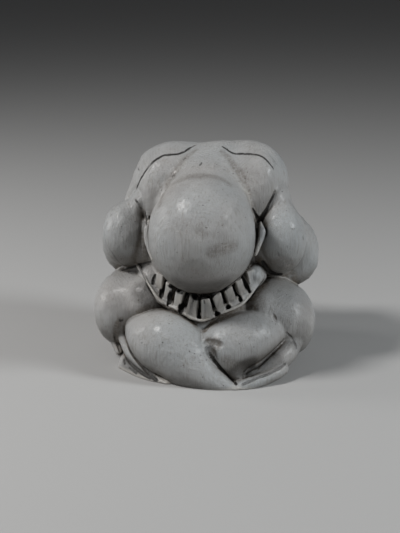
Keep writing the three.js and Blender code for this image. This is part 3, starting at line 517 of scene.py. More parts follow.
# knife lines, slots and pits: how dark, how wide its dark edge is, how far the
# cutter's axis runs above the surface, and its path with the cutter's radius
STROKES = [
    (1, 0.22, 0.1, [(-4.6, 4.1, 97.9, 0.25), (-6.7, 0.6, 97.3, 0.4), (-8.9, -3.1, 96.1, 0.42), (-11.8, -5.3, 95.1, 0.42), (-14.9, -6.0, 94.8, 0.42), (-18.3, -6.3, 94.4, 0.45), (-21.4, -8.0, 92.8, 0.5), (-23.9, -9.4, 90.8, 0.5), (-26.1, -10.0, 87.6, 0.45), (-28.2, -9.0, 83.9, 0.42), (-30.5, -5.5, 79.9, 0.38), (-32.2, -4.3, 76.8, 0.22)]),  # collar bone line, left
    (1, 0.22, 0.12, [(7.9, -1.9, 98.1, 0.2), (9.6, -3.1, 97.4, 0.28), (12.1, -4.7, 96.3, 0.35), (14.4, -5.2, 95.8, 0.42), (19.0, -5.5, 95.9, 0.45), (23.4, -5.8, 95.7, 0.42), (27.0, -7.2, 94.6, 0.32), (29.4, -8.2, 92.5, 0.25), (31.2, -8.2, 90.1, 0.2)]),  # collar bone line, right
    (0.75, 0.2, 0.1, [(-30.6, -11.6, 75.2, 0.25), (-28.7, -13.3, 73.4, 0.36), (-27.2, -12.9, 70.9, 0.25)]),  # crease above the left arm
    (0.8, 0.2, 0.1, [(-25.9, -13.6, 70.1, 0.3), (-25.1, -14.6, 67.3, 0.38), (-24.1, -19.1, 65.4, 0.3)]),  # its lower end
    (1, 0.3, 0.0, [(-23.5, -14.8, 67.7, 0.4), (-23.2, -16.5, 66.2, 0.4)]),  # pit by the left ear
    (0.9, 0.25, 0.0, [(-22.5, -20.5, 65.1, 0.28), (-22.4, -22.0, 62.3, 0.4), (-22.2, -23.0, 59.4, 0.35), (-21.4, -24.5, 55.6, 0.25)]),  # line behind the left ear
    (1, 0.28, 0.0, [(32.5, -9.7, 80.4, 0.25), (31.4, -11.1, 77.8, 0.4), (30.1, -12.2, 75.0, 0.55), (28.7, -13.0, 72.0, 0.75), (27.0, -13.8, 69.1, 1.05), (25.9, -13.2, 67.0, 1.2)]),  # cleft above the right arm
    (0.95, 0.28, 0.0, [(23.0, -16.4, 73.5, 0.25), (24.1, -15.4, 70.8, 0.5), (25.5, -14.4, 68.1, 0.9)]),  # its other arm
    (0.95, 0.3, 0.0, [(24.7, -14.0, 63.6, 0.3), (24.7, -15.5, 60.8, 0.5), (24.5, -16.0, 57.7, 0.5), (24.0, -15.2, 53.7, 0.35)]),  # line behind the right ear
    (1, 0.5, -0.1, [(-15.0, -23.8, 40.6, 0.6), (-11.3, -30.0, 40.1, 0.8), (-7.7, -32.0, 39.6, 0.95), (-4.3, -28.8, 37.2, 1.15), (0.1, -35.2, 37.6, 1.25), (3.4, -33.7, 36.9, 1.25), (7.0, -34.0, 38.2, 1.15), (10.2, -31.5, 39.5, 1.05), (13.8, -32.2, 42.0, 0.95), (16.8, -31.3, 44.2, 0.85), (19.2, -28.7, 46.0, 0.7)]),  # recess under the crown, its shadow painted black
    (1, 0.35, -0.3, [(-20.5, -20.1, 42.3, 0.4), (-21.0, -21.2, 40.4, 0.62), (-21.1, -22.6, 38.9, 0.45)]),  # slot
    (1, 0.45, -0.5, [(-15.0, -23.8, 40.5, 0.9), (-16.0, -24.3, 37.0, 1.05), (-16.9, -27.7, 34.2, 0.85)]),  # slot
    (1, 0.45, -0.5, [(-10.5, -28.5, 39.4, 0.95), (-11.7, -28.9, 35.5, 1.1), (-12.7, -30.5, 32.4, 0.8)]),  # slot
    (1, 0.45, -0.6, [(-4.8, -30.7, 37.7, 1.2), (-6.0, -31.2, 33.7, 1.35), (-6.8, -34.0, 30.5, 1.05)]),  # slot
    (1, 0.45, -0.6, [(1.1, -33.3, 36.0, 0.85), (1.1, -32.0, 31.4, 1), (1.5, -35.6, 28.1, 0.95)]),  # slot
    (1, 0.45, -0.6, [(5.9, -32.7, 36.7, 0.95), (7.1, -29.5, 31.8, 1.3), (9.6, -35.0, 29.8, 1.15)]),  # slot
    (1, 0.45, -0.6, [(10.1, -26.5, 37.4, 1), (11.9, -27.5, 34.1, 1.3), (14.2, -32.3, 32.2, 1.1)]),  # slot
    (1, 0.45, -0.5, [(15.3, -24.5, 40.1, 0.95), (17.0, -25.2, 36.9, 1.15), (19.1, -29.0, 34.9, 0.9)]),  # slot
    (1, 0.45, -0.5, [(18.8, -21.7, 43.1, 0.8), (20.6, -22.3, 40.3, 1), (22.7, -24.9, 37.6, 0.8)]),  # slot
    (0.75, 0.3, 0.2, [(-8.4, -32.8, 38.8, 0.6), (-6.5, -33.4, 38.6, 0.6)]),  # hollow in the tip of the third finger
    (0.7, 0.25, 0.2, [(-1.4, -35.6, 37.1, 0.35), (-1.1, -35.7, 35.7, 0.35)]),  # notch in the tip of the fourth finger
    (0.7, 0.25, 0.2, [(3.7, -36.3, 36.3, 0.3), (4.0, -36.3, 35.2, 0.3)]),  # notch in the tip of the fifth finger
    (1, 0.5, -0.2, [(27.7, -15.0, 48.9, 0.45), (29.1, -13.3, 45.9, 0.85), (30.8, -9.2, 42.6, 1.1)]),  # gap under the right arm
    (1, 0.4, -0.1, [(30.8, -8.9, 42.1, 0.95), (33.4, -8.1, 41.5, 0.75), (35.9, -7.1, 40.7, 0.35)]),  # outer end of the gap
    (0.85, 0.2, 0.1, [(33.9, -20.3, 55.9, 0.3), (34.5, -19.9, 54.2, 0.5), (35.2, -19.4, 52.5, 0.3)]),  # pits of the right forearm
    (0.7, 0.25, 0.1, [(-29.0, -14.3, 45.4, 0.3), (-26.0, -15.6, 46.3, 0.4), (-23.2, -15.6, 47.1, 0.3)]),  # crease above the left palm
    (0.72, 0.45, 0.25, [(-33.6, -25.0, 15.8, 0.4), (-31.1, -28.5, 11.9, 0.6), (-28.4, -32.0, 8.7, 0.8), (-24.5, -36.5, 5.6, 1), (-20.7, -40.0, 3.0, 1), (-16.4, -43.0, 0.4, 0.7)]),  # line beside the shin, left
    (0.7, 0.35, 0.2, [(-33.0, -27.6, 5.2, 0.45), (-29.3, -32.9, 3.8, 0.65), (-24.8, -37.9, 2.5, 0.75), (-19.6, -42.2, 1.3, 0.6)]),  # toe line, left
    (0.6, 0.3, 0.15, [(-30.4, -33.4, 2.4, 0.35), (-26.5, -37.6, 1.4, 0.45)]),  # short toe line, left
    (0.9, 0.3, 0.1, [(-33.8, -28.3, 4.5, 0.45), (-33.1, -30.4, 3.1, 0.45)]),  # pit at the tip of the left foot
    (0.4, 0.5, 0.25, [(-39.0, -25.2, 15.7, 0.3), (-38.5, -21.2, 9.5, 0.42), (-36.4, -23.6, 5.9, 0.42)]),  # crease under the left knee
    (0.3, 0.25, 0.2, [(-40.3, -14.4, 69.1, 0.3), (-43.2, -14.7, 64.9, 0.36), (-44.0, -16.0, 59.6, 0.36), (-43.0, -17.2, 55.1, 0.36), (-40.1, -18.0, 51.1, 0.36), (-37.1, -15.2, 46.2, 0.36), (-33.6, -11.8, 43.3, 0.4)]),  # outer line of the left arm
    (0.8, 0.3, 0.0, [(-37.6, -11.9, 41.3, 0.3), (-34.3, -11.7, 42.6, 0.4), (-30.4, -12.8, 44.1, 0.45)]),  # crease over the left knee
    (0.6, 0.4, 0.1, [(-28.2, -16.4, 44.5, 0.3), (-25.6, -20.9, 41.7, 0.35), (-23.1, -23.9, 38.4, 0.4), (-20.2, -26.3, 34.8, 0.4)]),  # line beside the rim, left
    (0.75, 0.4, 0.1, [(29.1, -17.3, 42.4, 0.4), (26.5, -19.6, 38.8, 0.4), (23.6, -18.4, 34.3, 0.45), (21.5, -20.4, 31.6, 0.4)]),  # line beside the rim, right
    (0.75, 0.35, 0.2, [(-35.8, -26.9, 22.9, 0.25), (-35.3, -26.8, 22.2, 0.42), (-34.5, -26.7, 22.4, 0.3)]),  # pit beside the left knee
    (1, 0.4, 0.0, [(6.4, -43.1, 17.1, 0.6), (7.8, -44.3, 14.1, 0.6), (10.4, -44.5, 10.2, 0.6), (13.9, -43.5, 5.5, 0.6), (16.7, -43.0, 2.4, 0.55), (19.1, -47.5, 2.4, 0.4)]),  # crossing of the shins
    (0.55, 1.0, 0.9, [(7.2, -43.4, 17.0, 2.2), (8.4, -44.3, 14.6, 1.8), (10.0, -44.7, 12.5, 1)]),  # hollow at the crossing
    (0, 0.3, 1.5, [(5.5, -41.7, 18.8, 2.3), (8.0, -43.0, 18.7, 2.9), (11.0, -43.7, 18.7, 2.5), (13.0, -44.0, 18.7, 1.6)]),  # scoop at the end of the right shin
    (0.5, 0.4, 0.25, [(38.2, -26.8, 16.5, 0.4), (36.5, -29.1, 14.6, 0.6), (34.4, -31.5, 13.0, 0.8), (32.1, -33.5, 10.8, 0.95), (29.7, -35.9, 8.8, 1), (27.2, -37.6, 7.2, 1.1), (24.4, -38.1, 5.8, 1.1), (21.9, -40.1, 4.8, 0.9)]),  # line beside the shin, right
    (0.6, 0.4, 0.25, [(39.5, -34.1, 7.5, 0.35), (37.1, -37.4, 6.6, 0.6), (34.2, -40.1, 5.7, 0.5), (31.3, -41.9, 4.9, 0.72), (28.3, -43.7, 4.3, 0.55), (25.0, -45.8, 3.3, 0.72), (22.1, -47.3, 2.4, 0.5)]),  # sole line, right
    (0.5, 0.4, 0.25, [(39.5, -25.9, 19.5, 0.35), (42.2, -25.2, 16.1, 0.5), (44.2, -27.0, 12.9, 0.55)]),  # crease under the right knee
    (0.85, 0.2, 0.15, [(33.4, -26.0, 27.9, 0.35), (34.3, -26.3, 26.2, 0.62), (35.2, -27.0, 24.6, 0.35), (36.0, -27.9, 23.1, 0.2)]),  # scar beside the right knee
    (0.55, 0.3, 0.3, [(-13.3, -14.1, 86.3, 0.3), (-12.7, -13.8, 87.0, 0.42), (-12.0, -14.3, 86.9, 0.3)]),  # pit of the neck
    (0.55, 0.25, 0.25, [(-8.8, -8.0, 93.0, 0.22), (-8.1, -7.5, 93.5, 0.32)]),  # pit of the neck
    (0.4, 0.25, 0.25, [(-4.3, -16.1, 91.0, 0.2), (-3.6, -15.3, 91.6, 0.28)]),  # pit of the neck
    (0.7, 0.2, 0.2, [(-0.5, -15.9, 92.2, 0.3), (0.0, -14.1, 93.0, 0.3)]),  # pit of the neck
    (0.5, 0.25, 0.25, [(9.3, -15.2, 91.0, 0.22), (10.2, -15.5, 90.4, 0.34), (10.8, -14.6, 90.4, 0.22)]),  # pit of the neck
    (0.6, 0.2, 0.2, [(-30.7, -1.4, 87.1, 0.25), (-29.3, -4.7, 86.5, 0.25)]),  # mark on the left shoulder
    (0.7, 0.2, 0.2, [(45.2, -13.9, 60.5, 0.25), (45.5, -13.6, 59.3, 0.25)]),  # mark on the right arm
]
# stains: brown dirt (0), dark painted shade with some grime (1) or patches free of dirt film and painted shade (2), how
# strong, how wide the edge is, and the path with its radius
STAINS = [
    (0, 0.42, 1.9, [(-4.0, -2.7, 96.6, 0.2), (-8.3, -7.7, 93.3, 0.5), (-12.9, -13.9, 86.7, 0.9), (-14.9, -15.9, 83.5, 0.9), (-15.4, -27.5, 81.0, 0.7), (-15.7, -33.9, 78.0, 0.4)]),  # crease left of the neck
    (0, 0.5, 1.8, [(8.1, -5.9, 96.5, 0.2), (11.0, -7.8, 94.7, 0.5), (13.6, -10.6, 91.7, 0.8), (17.3, -12.7, 88.1, 0.9), (19.3, -14.8, 83.7, 0.8), (21.8, -16.7, 77.4, 0.7), (23.6, -16.0, 72.3, 0.7)]),  # crease right of the neck
    (0, 0.42, 2.6, [(-11.6, -23.2, 85.1, 0.6), (-6.0, -25.1, 88.1, 0.9), (0.6, -25.3, 89.6, 1), (7.1, -24.6, 88.9, 0.9), (13.1, -24.1, 86.1, 0.6)]),  # above the crown
    (0, 0.5, 2.4, [(-26.4, -16.3, 59.3, 1.2), (-26.8, -16.9, 53.4, 2.2), (-28.8, -15.2, 47.7, 2.6)]),  # beside the left arm
    (0, 0.25, 3.0, [(28.3, -17.3, 56.3, 1), (32.0, -18.4, 51.6, 2.4), (36.0, -17.8, 49.3, 2.6), (39.6, -16.5, 48.6, 1.6)]),  # beside the right arm
    (0, 0.9, 1.2, [(25.9, -20.0, 55.5, 1.2), (25.8, -19.0, 51.6, 1.8), (26.9, -14.8, 48.6, 1.2)]),  # by the thumb
    (0, 0.35, 2.2, [(23.3, -25.8, 35.9, 1), (25.4, -22.2, 33.0, 2), (27.9, -24.5, 31.5, 1.2)]),  # hollow right of the hands
    (0, 0.7, 0.8, [(9.3, -35.1, 28.6, 0.6), (13.5, -27.8, 28.5, 0.7), (17.6, -24.7, 29.2, 0.8), (22.4, -22.9, 30.1, 0.8), (25.7, -25.0, 29.9, 0.8)]),  # under the rim, right
    (0, 0.95, 0.8, [(3.3, -36.6, 27.0, 0.9), (6.1, -35.9, 27.3, 0.9), (6.9, -33.4, 25.1, 0.9), (4.2, -36.4, 22.5, 0.9)]),  # between the shins
    (0, 0.62, 1.8, [(6.1, -41.6, 19.6, 1), (10.2, -43.2, 19.6, 1.2), (8.6, -44.0, 16.4, 1.2)]),  # end of the right shin
    (0, 0.35, 2.0, [(14.8, -44.7, 12.3, 1.2), (18.6, -43.1, 8.6, 1.4)]),  # ring marks of the right shin
    (0, 0.9, 0.5, [(27.3, -37.9, 7.0, 0.5), (28.3, -38.3, 6.8, 0.5)]),  # ochre spot
    (0, 0.6, 1.0, [(-27.2, -28.6, 27.3, 0.4), (-23.7, -29.0, 29.3, 0.8), (-20.2, -27.9, 30.9, 0.8)]),  # under the left knee
    (0, 0.65, 1.2, [(-35.4, -26.9, 22.7, 0.8), (-37.4, -26.4, 18.6, 0.9), (-38.5, -21.1, 9.9, 0.7), (-36.1, -23.4, 5.5, 0.5)]),  # beside the left knee
    (0, 0.55, 2.0, [(40.3, -4.2, 39.4, 1.8), (41.4, -3.4, 35.9, 1.2)]),  # back of the right arm
    (0, 0.3, 2.2, [(3.2, -48.1, 70.4, 0.8), (4.7, -48.1, 69.6, 0.8)]),  # stain on the crown
    (0, 0.4, 2.2, [(8.5, -47.9, 61.6, 1.6), (12.5, -46.1, 62.6, 1.8), (17.3, -42.6, 63.1, 1.4)]),  # stain on the crown
    (1, 0.66, 6.0, [(-26.0, -25.7, 36.8, 1.5), (-21.7, -27.5, 33.7, 3)]),  # inner thigh, left: painted shade
    (1, 0.72, 6.0, [(-6.3, -40.1, 44.7, 1), (2.4, -40.1, 42.7, 2.6), (11.8, -38.6, 44.9, 1)]),  # head over the hands: painted shade on its underside
    (0, 0.5, 1.2, [(-34.9, -11.2, 43.1, 0.4), (-29.5, -15.3, 44.6, 0.5), (-25.1, -16.3, 48.6, 0.6)]),  # lower left of the left arm
    (1, 0.35, 3.0, [(-44.1, -21.9, 14.3, 1.2), (-42.0, -19.2, 9.6, 1.6)]),  # foot of the left knee: painted shade
    (1, 0.8, 3.0, [(18.2, -43.3, 5.4, 2), (21.5, -41.0, 7.3, 3), (24.5, -39.6, 9.0, 2.4)]),  # under the right shin: painted shadow
    (1, 0.52, 3.4, [(35.6, -34.9, 10.1, 1.6), (31.4, -37.9, 6.8, 1.6), (24.6, -40.2, 3.1, 1.6)]),  # ridge of the right foot: painted shade
    (1, 0.34, 5.0, [(46.7, -22.3, 19.7, 2), (44.7, -24.5, 14.7, 2)]),  # right knee, low: painted shade
    (2, 0.85, 3.0, [(31.0, -19.1, 63.7, 1.6), (30.2, -19.2, 58.7, 2.4), (32.1, -19.5, 54.7, 2)]),  # inner side of the right arm
    (2, 0.7, 3.0, [(-30.6, -18.0, 63.4, 1.6), (-31.7, -19.5, 59.1, 2.2), (-32.7, -19.5, 54.4, 2)]),  # inner side of the left arm
    (1, 0.4, 3.2, [(-11.1, -45.2, 2.0, 1.6), (-4.0, -48.8, 1.8, 2), (2.7, -49.5, 0.5, 1.4)]),  # foot of the left shin: painted shade
    (1, 0.7, 2.2, [(-25.6, -38.6, 1.0, 0.8), (-19.6, -42.6, 0.7, 1), (-14.7, -44.8, 0.2, 1)]),  # between the foot and the ground, left: painted shadow
    (1, 0.7, 1.4, [(27.8, -14.5, 47.6, 0.8), (30.3, -10.9, 43.8, 1), (35.0, -13.1, 43.4, 0.9)]),  # hollow under the right arm: painted shade
    (1, 0.82, 4.0, [(-3.5, -35.3, 33.7, 2.4), (1.3, -30.6, 30.5, 3.2), (6.8, -32.7, 32.8, 2.4)]),  # fingers in the shade of the crown
    (1, 0.66, 3.0, [(11.4, -34.2, 35.7, 1.6), (15.5, -31.0, 37.2, 1.6), (19.9, -26.6, 39.7, 1.2)]),  # outer fingers, right: painted shade
    (1, 0.72, 3.4, [(-32.6, -30.1, 3.8, 1.4), (-28.5, -35.3, 2.1, 1.8), (-23.6, -40.0, 1.2, 1.2)]),  # foot of the left foot: painted shade
    (2, 0.9, 1.0, [(-23.5, -18.1, 66.4, 0.8), (-23.7, -21.4, 61.2, 1.2), (-22.5, -23.7, 55.9, 1), (-20.6, -25.2, 51.3, 0.8)]),  # left ear
    (2, 0.95, 0.8, [(26.8, -18.5, 67.1, 0.7), (27.7, -21.1, 64.1, 1), (26.8, -21.9, 60.2, 0.9), (25.6, -22.7, 56.3, 0.6)]),  # right ear
    (2, 0.9, 1.4, [(-27.8, -14.3, 44.5, 0.6), (-24.2, -17.6, 44.3, 1.6), (-21.7, -21.0, 40.7, 1.6), (-19.4, -24.6, 36.7, 0.8)]),  # left palm
    (2, 0.95, 1.2, [(25.8, -17.8, 47.1, 1.4), (24.8, -21.3, 44.8, 1.4), (23.6, -22.1, 39.9, 0.8)]),  # thumb
    (2, 0.8, 0.5, [(-26.5, -19.2, 42.8, 0.5), (-22.7, -24.8, 39.4, 0.5), (-17.0, -29.5, 33.6, 0.5), (-9.6, -33.2, 31.5, 0.5)]),  # rim, left
    (2, 0.8, 0.5, [(16.1, -32.6, 32.1, 0.5), (19.3, -30.6, 33.2, 0.5), (21.8, -27.6, 35.2, 0.5), (24.6, -23.3, 38.1, 0.5), (27.8, -19.8, 42.6, 0.5)]),  # rim, right
    (2, 0.3, 1.0, [(-36.2, -26.2, 3.6, 0.7), (-35.8, -28.9, 1.2, 0.8)]),  # tip of the left foot
    (2, 0.3, 1.2, [(38.8, -36.3, 6.5, 0.9), (34.7, -40.7, 4.9, 0.9)]),  # right foot
]
lines = []
for dark, fade, lift, path in STROKES:
    path = np.array(path, float)
    p = settled(plain, path[:, :3], 1.0, 4)
    g = slopes(plain, p)[1]
    p = p + g / np.linalg.norm(g, axis=1)[:, None] * lift
    lines.append((dark, fade, Limb(np.column_stack([p, path[:, 3]]), 4)))
carving = Field([("add", k, g) for g, k in ORDER] + [("cut", 0.3, [("add", 0.2, m) for _, _, m in lines]), ("within", 0, [("add", 0, Ground())])])
carving.groups[-1] = ("within", 0, [("add", 0, Ground())], Ground.lo, Ground.hi)

points, quads = skin(carving, (-56, -56, -1), (56, 48, 104), CELL)
points = settled(carving, points, 0.5 * CELL)

# ---------------------------------------------------------------- the mesh
mesh = bpy.data.meshes.new("carving")
mesh.vertices.add(len(points))
mesh.vertices.foreach_set("co", points.ravel())
mesh.loops.add(4 * len(quads))
mesh.loops.foreach_set("vertex_index", quads.astype(np.int32).ravel())
mesh.polygons.add(len(quads))
mesh.polygons.foreach_set("loop_start", np.arange(0, 4 * len(quads), 4, dtype=np.int32))
mesh.polygons.foreach_set("loop_total", np.full(len(quads), 4, np.int32))
mesh.update()
mesh.validate()
figure = bpy.data.objects.new("carving", mesh)
bpy.context.scene.collection.objects.link(figure)
triangles = 2 * len(quads)
if triangles > MOST_TRIANGLES:
    thin = figure.modifiers.new("thin", "DECIMATE")
    thin.ratio = MOST_TRIANGLES / triangles
    slim = bpy.data.meshes.new_from_object(figure.evaluated_get(bpy.context.evaluated_depsgraph_get()))
    figure.modifiers.clear()
    figure.data = slim
    bpy.data.meshes.remove(mesh)
    mesh = slim
    mesh.name = "carving"


# ---------------------------------------------------------------- hand-cut unevenness
def lattice(i, j, k, seed):
    v = (i * 374761393 + j * 668265263 + k * 2147483647 + seed * 974711) & 0xFFFFFFFF
    v = ((v ^ (v >> 13)) * 1274126177) & 0xFFFFFFFF
    return ((v ^ (v >> 16)) & 0xFFFFFF) / float(0xFFFFFF) * 2 - 1


def value_noise(p, size, seed):
    q = p / np.asarray(size, float)
    c = np.floor(q).astype(np.int64)
    t = q - c
    t = t * t * t * (t * (t * 6 - 15) + 10)
    out = 0
    for x in (0, 1):
        for y in (0, 1):
            for z in (0, 1):
                w = (t[:, 0] if x else 1 - t[:, 0]) * (t[:, 1] if y else 1 - t[:, 1]) * (t[:, 2] if z else 1 - t[:, 2])
                out = out + w * lattice(c[:, 0] + x, c[:, 1] + y, c[:, 2] + z, seed)
    return out


co = np.empty(3 * len(mesh.vertices), np.float32)
mesh.vertices.foreach_get("co", co)
co = co.reshape(-1, 3).astype(float)
_, g = slopes(carving, co)
normal = g / np.maximum(np.linalg.norm(g, axis=1), 1e-6)[:, None]
# small dents and swells: layered noise moves each point along its normal
rough = (0.24 * value_noise(co, 9, 3) + 0.14 * value_noise(co, 4.2, 5) + 0.09 * value_noise(co, 2.0, 7)
         + 0.08 * value_noise(co, (1.3, 1.3, 7), 11))
smooth_part = np.clip(co[:, 2] / 2.0, 0, 1)  # the underside stays flat
co = co + normal * (rough * smooth_part)[:, None]
co[:, 2] = np.maximum(co[:, 2], 0)

# how far each point lies in a hollow, at three widths, and how proud it stands
def hollow(width):
    return np.clip(1 - carving(co + normal * width, width + 1) / width, 0, 1)


narrow, middle, wide = hollow(0.9), hollow(2.4), hollow(6.0)
# painted shade: darker near other masses, on faces turned down and low down
painted_shade = np.clip(0.55 * hollow(13.0) + 0.80 * np.clip(0.35 - normal[:, 2], 0, 1) + 0.18 * np.clip(1 - co[:, 2] / 22, 0, 1), 0, 1)
proud = np.clip(-carving(co - normal * 1.6, 3.0) / 1.6, 0, 1)
line = np.zeros(len(co))
for dark, fade, m in lines:
    line = np.maximum(line, dark * np.clip(1 - np.maximum(m.d(co) - 0.08, 0) / fade, 0, 1))
stain = np.zeros((3, len(co)))
for kind, strength, fade, path in STAINS:
    t = np.clip(1 - np.maximum(Limb(path, 4).d(co), 0) / fade, 0, 1)
    stain[kind] = np.maximum(stain[kind], strength * t * t * (3 - 2 * t))

box_lo, box_hi = co.min(0), co.max(0)
centre = np.array([-(box_lo[0] + box_hi[0]) / 2, -(box_lo[1] + box_hi[1]) / 2, 0])
mesh.vertices.foreach_set("co", ((co + centre) * 0.001).astype(np.float32).ravel())
for name, values in (("narrow", narrow), ("middle", middle), ("wide", wide), ("proud", 1 - proud), ("line", line),
                     ("brown", stain[0]), ("shade_and_grime", stain[1]), ("dirt_and_shade_kept", 1 - stain[2]), ("painted_shade", painted_shade)):
    layer = mesh.attributes.new(name, "FLOAT", "POINT")
    layer.data.foreach_set("value", values.astype(np.float32))
mesh.polygons.foreach_set("use_smooth", np.ones(len(mesh.polygons), bool))
mesh.update()

# ---------------------------------------------------------------- the finish
wood = bpy.data.materials.new("washed_wood")
wood.use_nodes = True
tree = wood.node_tree
tree.nodes.clear()
links = tree.links


def node(kind, **settings):
    n = tree.nodes.new(kind)
    for key, value in settings.items():
        setattr(n, key, value)
    return n


def into(socket, value):
    if isinstance(value, bpy.types.NodeSocket):
        links.new(value, socket)
    elif value is not None:
        socket.default_value = value


def maths(operation, a, b=None, c=None, clamp=False):
    n = node("ShaderNodeMath", operation=operation, use_clamp=clamp)
    for i, v in enumerate((a, b, c)):
        if v is not None:
            into(n.inputs[i], v)
    return n.outputs[0]


def blend(factor, a, b, mode="MIX"):
    n = node("ShaderNodeMix", data_type="RGBA", blend_type=mode)
    into(n.inputs[0], factor)
    for socket, v in ((n.inputs[6], a), (n.inputs[7], b)):
        into(socket, v if isinstance(v, bpy.types.NodeSocket) else (*v, 1))
    return n.outputs[2]


def ramp(value, low, high, to_low=0.0, to_high=1.0):
    n = node("ShaderNodeMapRange", clamp=True)
    into(n.inputs[0], value)
    for i, v in enumerate((low, high, to_low, to_high)):
        n.inputs[i + 1].default_value = v
    return n.outputs[0]


def attribute(name):
    return node("ShaderNodeAttribute", attribute_name=name).outputs["Fac"]


PAINT_LOW, PAINT_HIGH, PAINT_COOL = (0.40, 0.392, 0.385), (0.50, 0.495, 0.485), (0.42, 0.445, 0.455)
BARE, FILM_AND_SHADE, DIRT = (0.235, 0.205, 0.170), (0.165, 0.152, 0.135), (0.115, 0.088, 0.062)
SHADE_AND_GRIME, BLACK, SPECK, RUBBED = (0.055, 0.050, 0.044), (0.012, 0.010, 0.008), (0.075, 0.055, 0.040), (0.60, 0.575, 0.53)

place = node("ShaderNodeTexCoord").outputs["Object"]


def spot(scale, shift=(0, 0, 0)):
    n = node("ShaderNodeMapping")
    into(n.inputs["Vector"], place)
    n.inputs["Scale"].default_value = scale
    n.inputs["Location"].default_value = shift
    return n.outputs[0]


def noise(scale, detail=2.0, rough=0.5, shift=(0, 0, 0), distortion=0.0):
    """scale is in waves per millimetre, for each axis"""
    s = scale if isinstance(scale, tuple) else (scale, scale, scale)
    n = node("ShaderNodeTexNoise")
    into(n.inputs["Vector"], spot(tuple(1000 * v for v in s), shift))
    n.inputs["Scale"].default_value = 1.0
    n.inputs["Detail"].default_value = detail
    n.inputs["Roughness"].default_value = rough
    n.inputs["Distortion"].default_value = distortion
    return n.outputs[0]


# the grain: year rings round a leaning axis behind the nape, and upright fibres
n = node("ShaderNodeMapping", vector_type="TEXTURE")
into(n.inputs["Vector"], place)
n.inputs["Location"].default_value = (0.002, 0.016, 0.040)
n.inputs["Rotation"].default_value = (math.radians(9), math.radians(5), 0)
n.inputs["Scale"].default_value = (0.001, 0.001, 0.001)
rings = node("ShaderNodeTexWave", wave_type="RINGS", rings_direction="Z", wave_profile="SIN")
into(rings.inputs["Vector"], n.outputs[0])
rings.inputs["Scale"].default_value = 0.26
rings.inputs["Distortion"].default_value = 7.0
rings.inputs["Detail"].default_value = 2.0
rings.inputs["Detail Scale"].default_value = 0.22
rings = rings.outputs["Fac"]
fibre = noise((1.15, 1.15, 0.06), 4.0, 0.72)
fine = noise((3.8, 3.8, 0.4), 2.0, 0.6, (3, 1, 7))
mottle = noise(0.075, 3.0, 0.55, (11, 2, 5))
blotch = noise(0.22, 3.0, 0.6, (4, 9, 1))
tint = noise(0.03, 1.0, 0.5, (1, 6, 3))
grit = noise(1.7, 3.0, 0.7, (8, 3, 2))
crumbs = noise(0.8, 4.0, 0.75, (2, 8, 6))
here = ramp(noise(0.09, 2.0, 0.5, (7, 1, 4)), 0.47, 0.62)  # where the grain shows more

paint = blend(ramp(mottle, 0.35, 0.68), PAINT_LOW, PAINT_HIGH)
paint = blend(ramp(tint, 0.35, 0.65, 0.0, 0.8), paint, PAINT_COOL)
# thin paint over the fibres lets the wood through a little
thin_paint = maths("MULTIPLY", ramp(fibre, 0.50, 0.66), ramp(blotch, 0.32, 0.68, 0.12, 0.62))
paint = blend(thin_paint, paint, BARE)
paint = blend(maths("MULTIPLY", maths("MULTIPLY", ramp(rings, 0.62, 0.95), 0.10), here), paint, BARE)

a_narrow, a_middle, a_wide, a_proud, a_line = (attribute(n) for n in ("narrow", "middle", "wide", "proud", "line"))
a_brown, a_shade_and_grime, a_dirt_and_shade_kept, a_painted_shade = (attribute(n) for n in ("brown", "shade_and_grime", "dirt_and_shade_kept", "painted_shade"))
# dirt gathers in the hollows; painted shade darkens parts near other masses, facing down or low, and the kind-1 spots
broken = ramp(grit, 0.30, 0.70, 0.55, 1.25)
patchy = ramp(crumbs, 0.36, 0.62, 0.35, 1.3)
film = maths("MULTIPLY", maths("MULTIPLY", ramp(a_middle, 0.30, 0.90), patchy), 0.80, clamp=True)
deep = maths("MULTIPLY", maths("MULTIPLY", ramp(a_narrow, 0.35, 0.85), ramp(a_middle, 0.45, 0.85)), broken, clamp=True)
# kind-2 patches take off the dirt film and the painted shade, so these places keep the paint's own lightness
film = maths("MULTIPLY", film, a_dirt_and_shade_kept)
colour = blend(maths("MULTIPLY", maths("MULTIPLY", ramp(a_wide, 0.25, 0.95), 0.30), a_dirt_and_shade_kept), paint, FILM_AND_SHADE)
# painted shade where the figure is near other masses, faces down or lies low
colour = blend(maths("MULTIPLY", ramp(a_painted_shade, 0.22, 0.95, 0.0, 0.80), a_dirt_and_shade_kept), colour, FILM_AND_SHADE)
colour = blend(film, colour, DIRT)
colour = blend(maths("MULTIPLY", a_brown, patchy, clamp=True), colour, DIRT)
# painted shade, with some grime, from the kind-1 stains
colour = blend(maths("MULTIPLY", a_shade_and_grime, ramp(crumbs, 0.3, 0.7, 0.85, 1.1), clamp=True), colour, SHADE_AND_GRIME)
colour = blend(deep, colour, BLACK)
# knife lines, slots and pits darkened toward black; at the recess under the crown this is painted shadow
colour = blend(ramp(maths("MULTIPLY", a_line, broken), 0.12, 0.80), colour, BLACK)
# specks
cells = node("ShaderNodeTexVoronoi", feature="F1")
into(cells.inputs["Vector"], spot((1000, 1000, 1000)))
cells.inputs["Scale"].default_value = 0.50
specks = maths("MULTIPLY", ramp(cells.outputs["Distance"], 0.08, 0.16, 1, 0), ramp(noise(0.16, 2, 0.5, (5, 5, 9)), 0.52, 0.62))
colour = blend(maths("MULTIPLY", specks, 0.8), colour, SPECK)
# rubbed edges are paler
rubbed = maths("MULTIPLY", maths("MULTIPLY", ramp(a_proud, 0.25, 0.8), 0.6), ramp(a_line, 0.1, 0.5, 1, 0))
colour = blend(rubbed, colour, RUBBED)

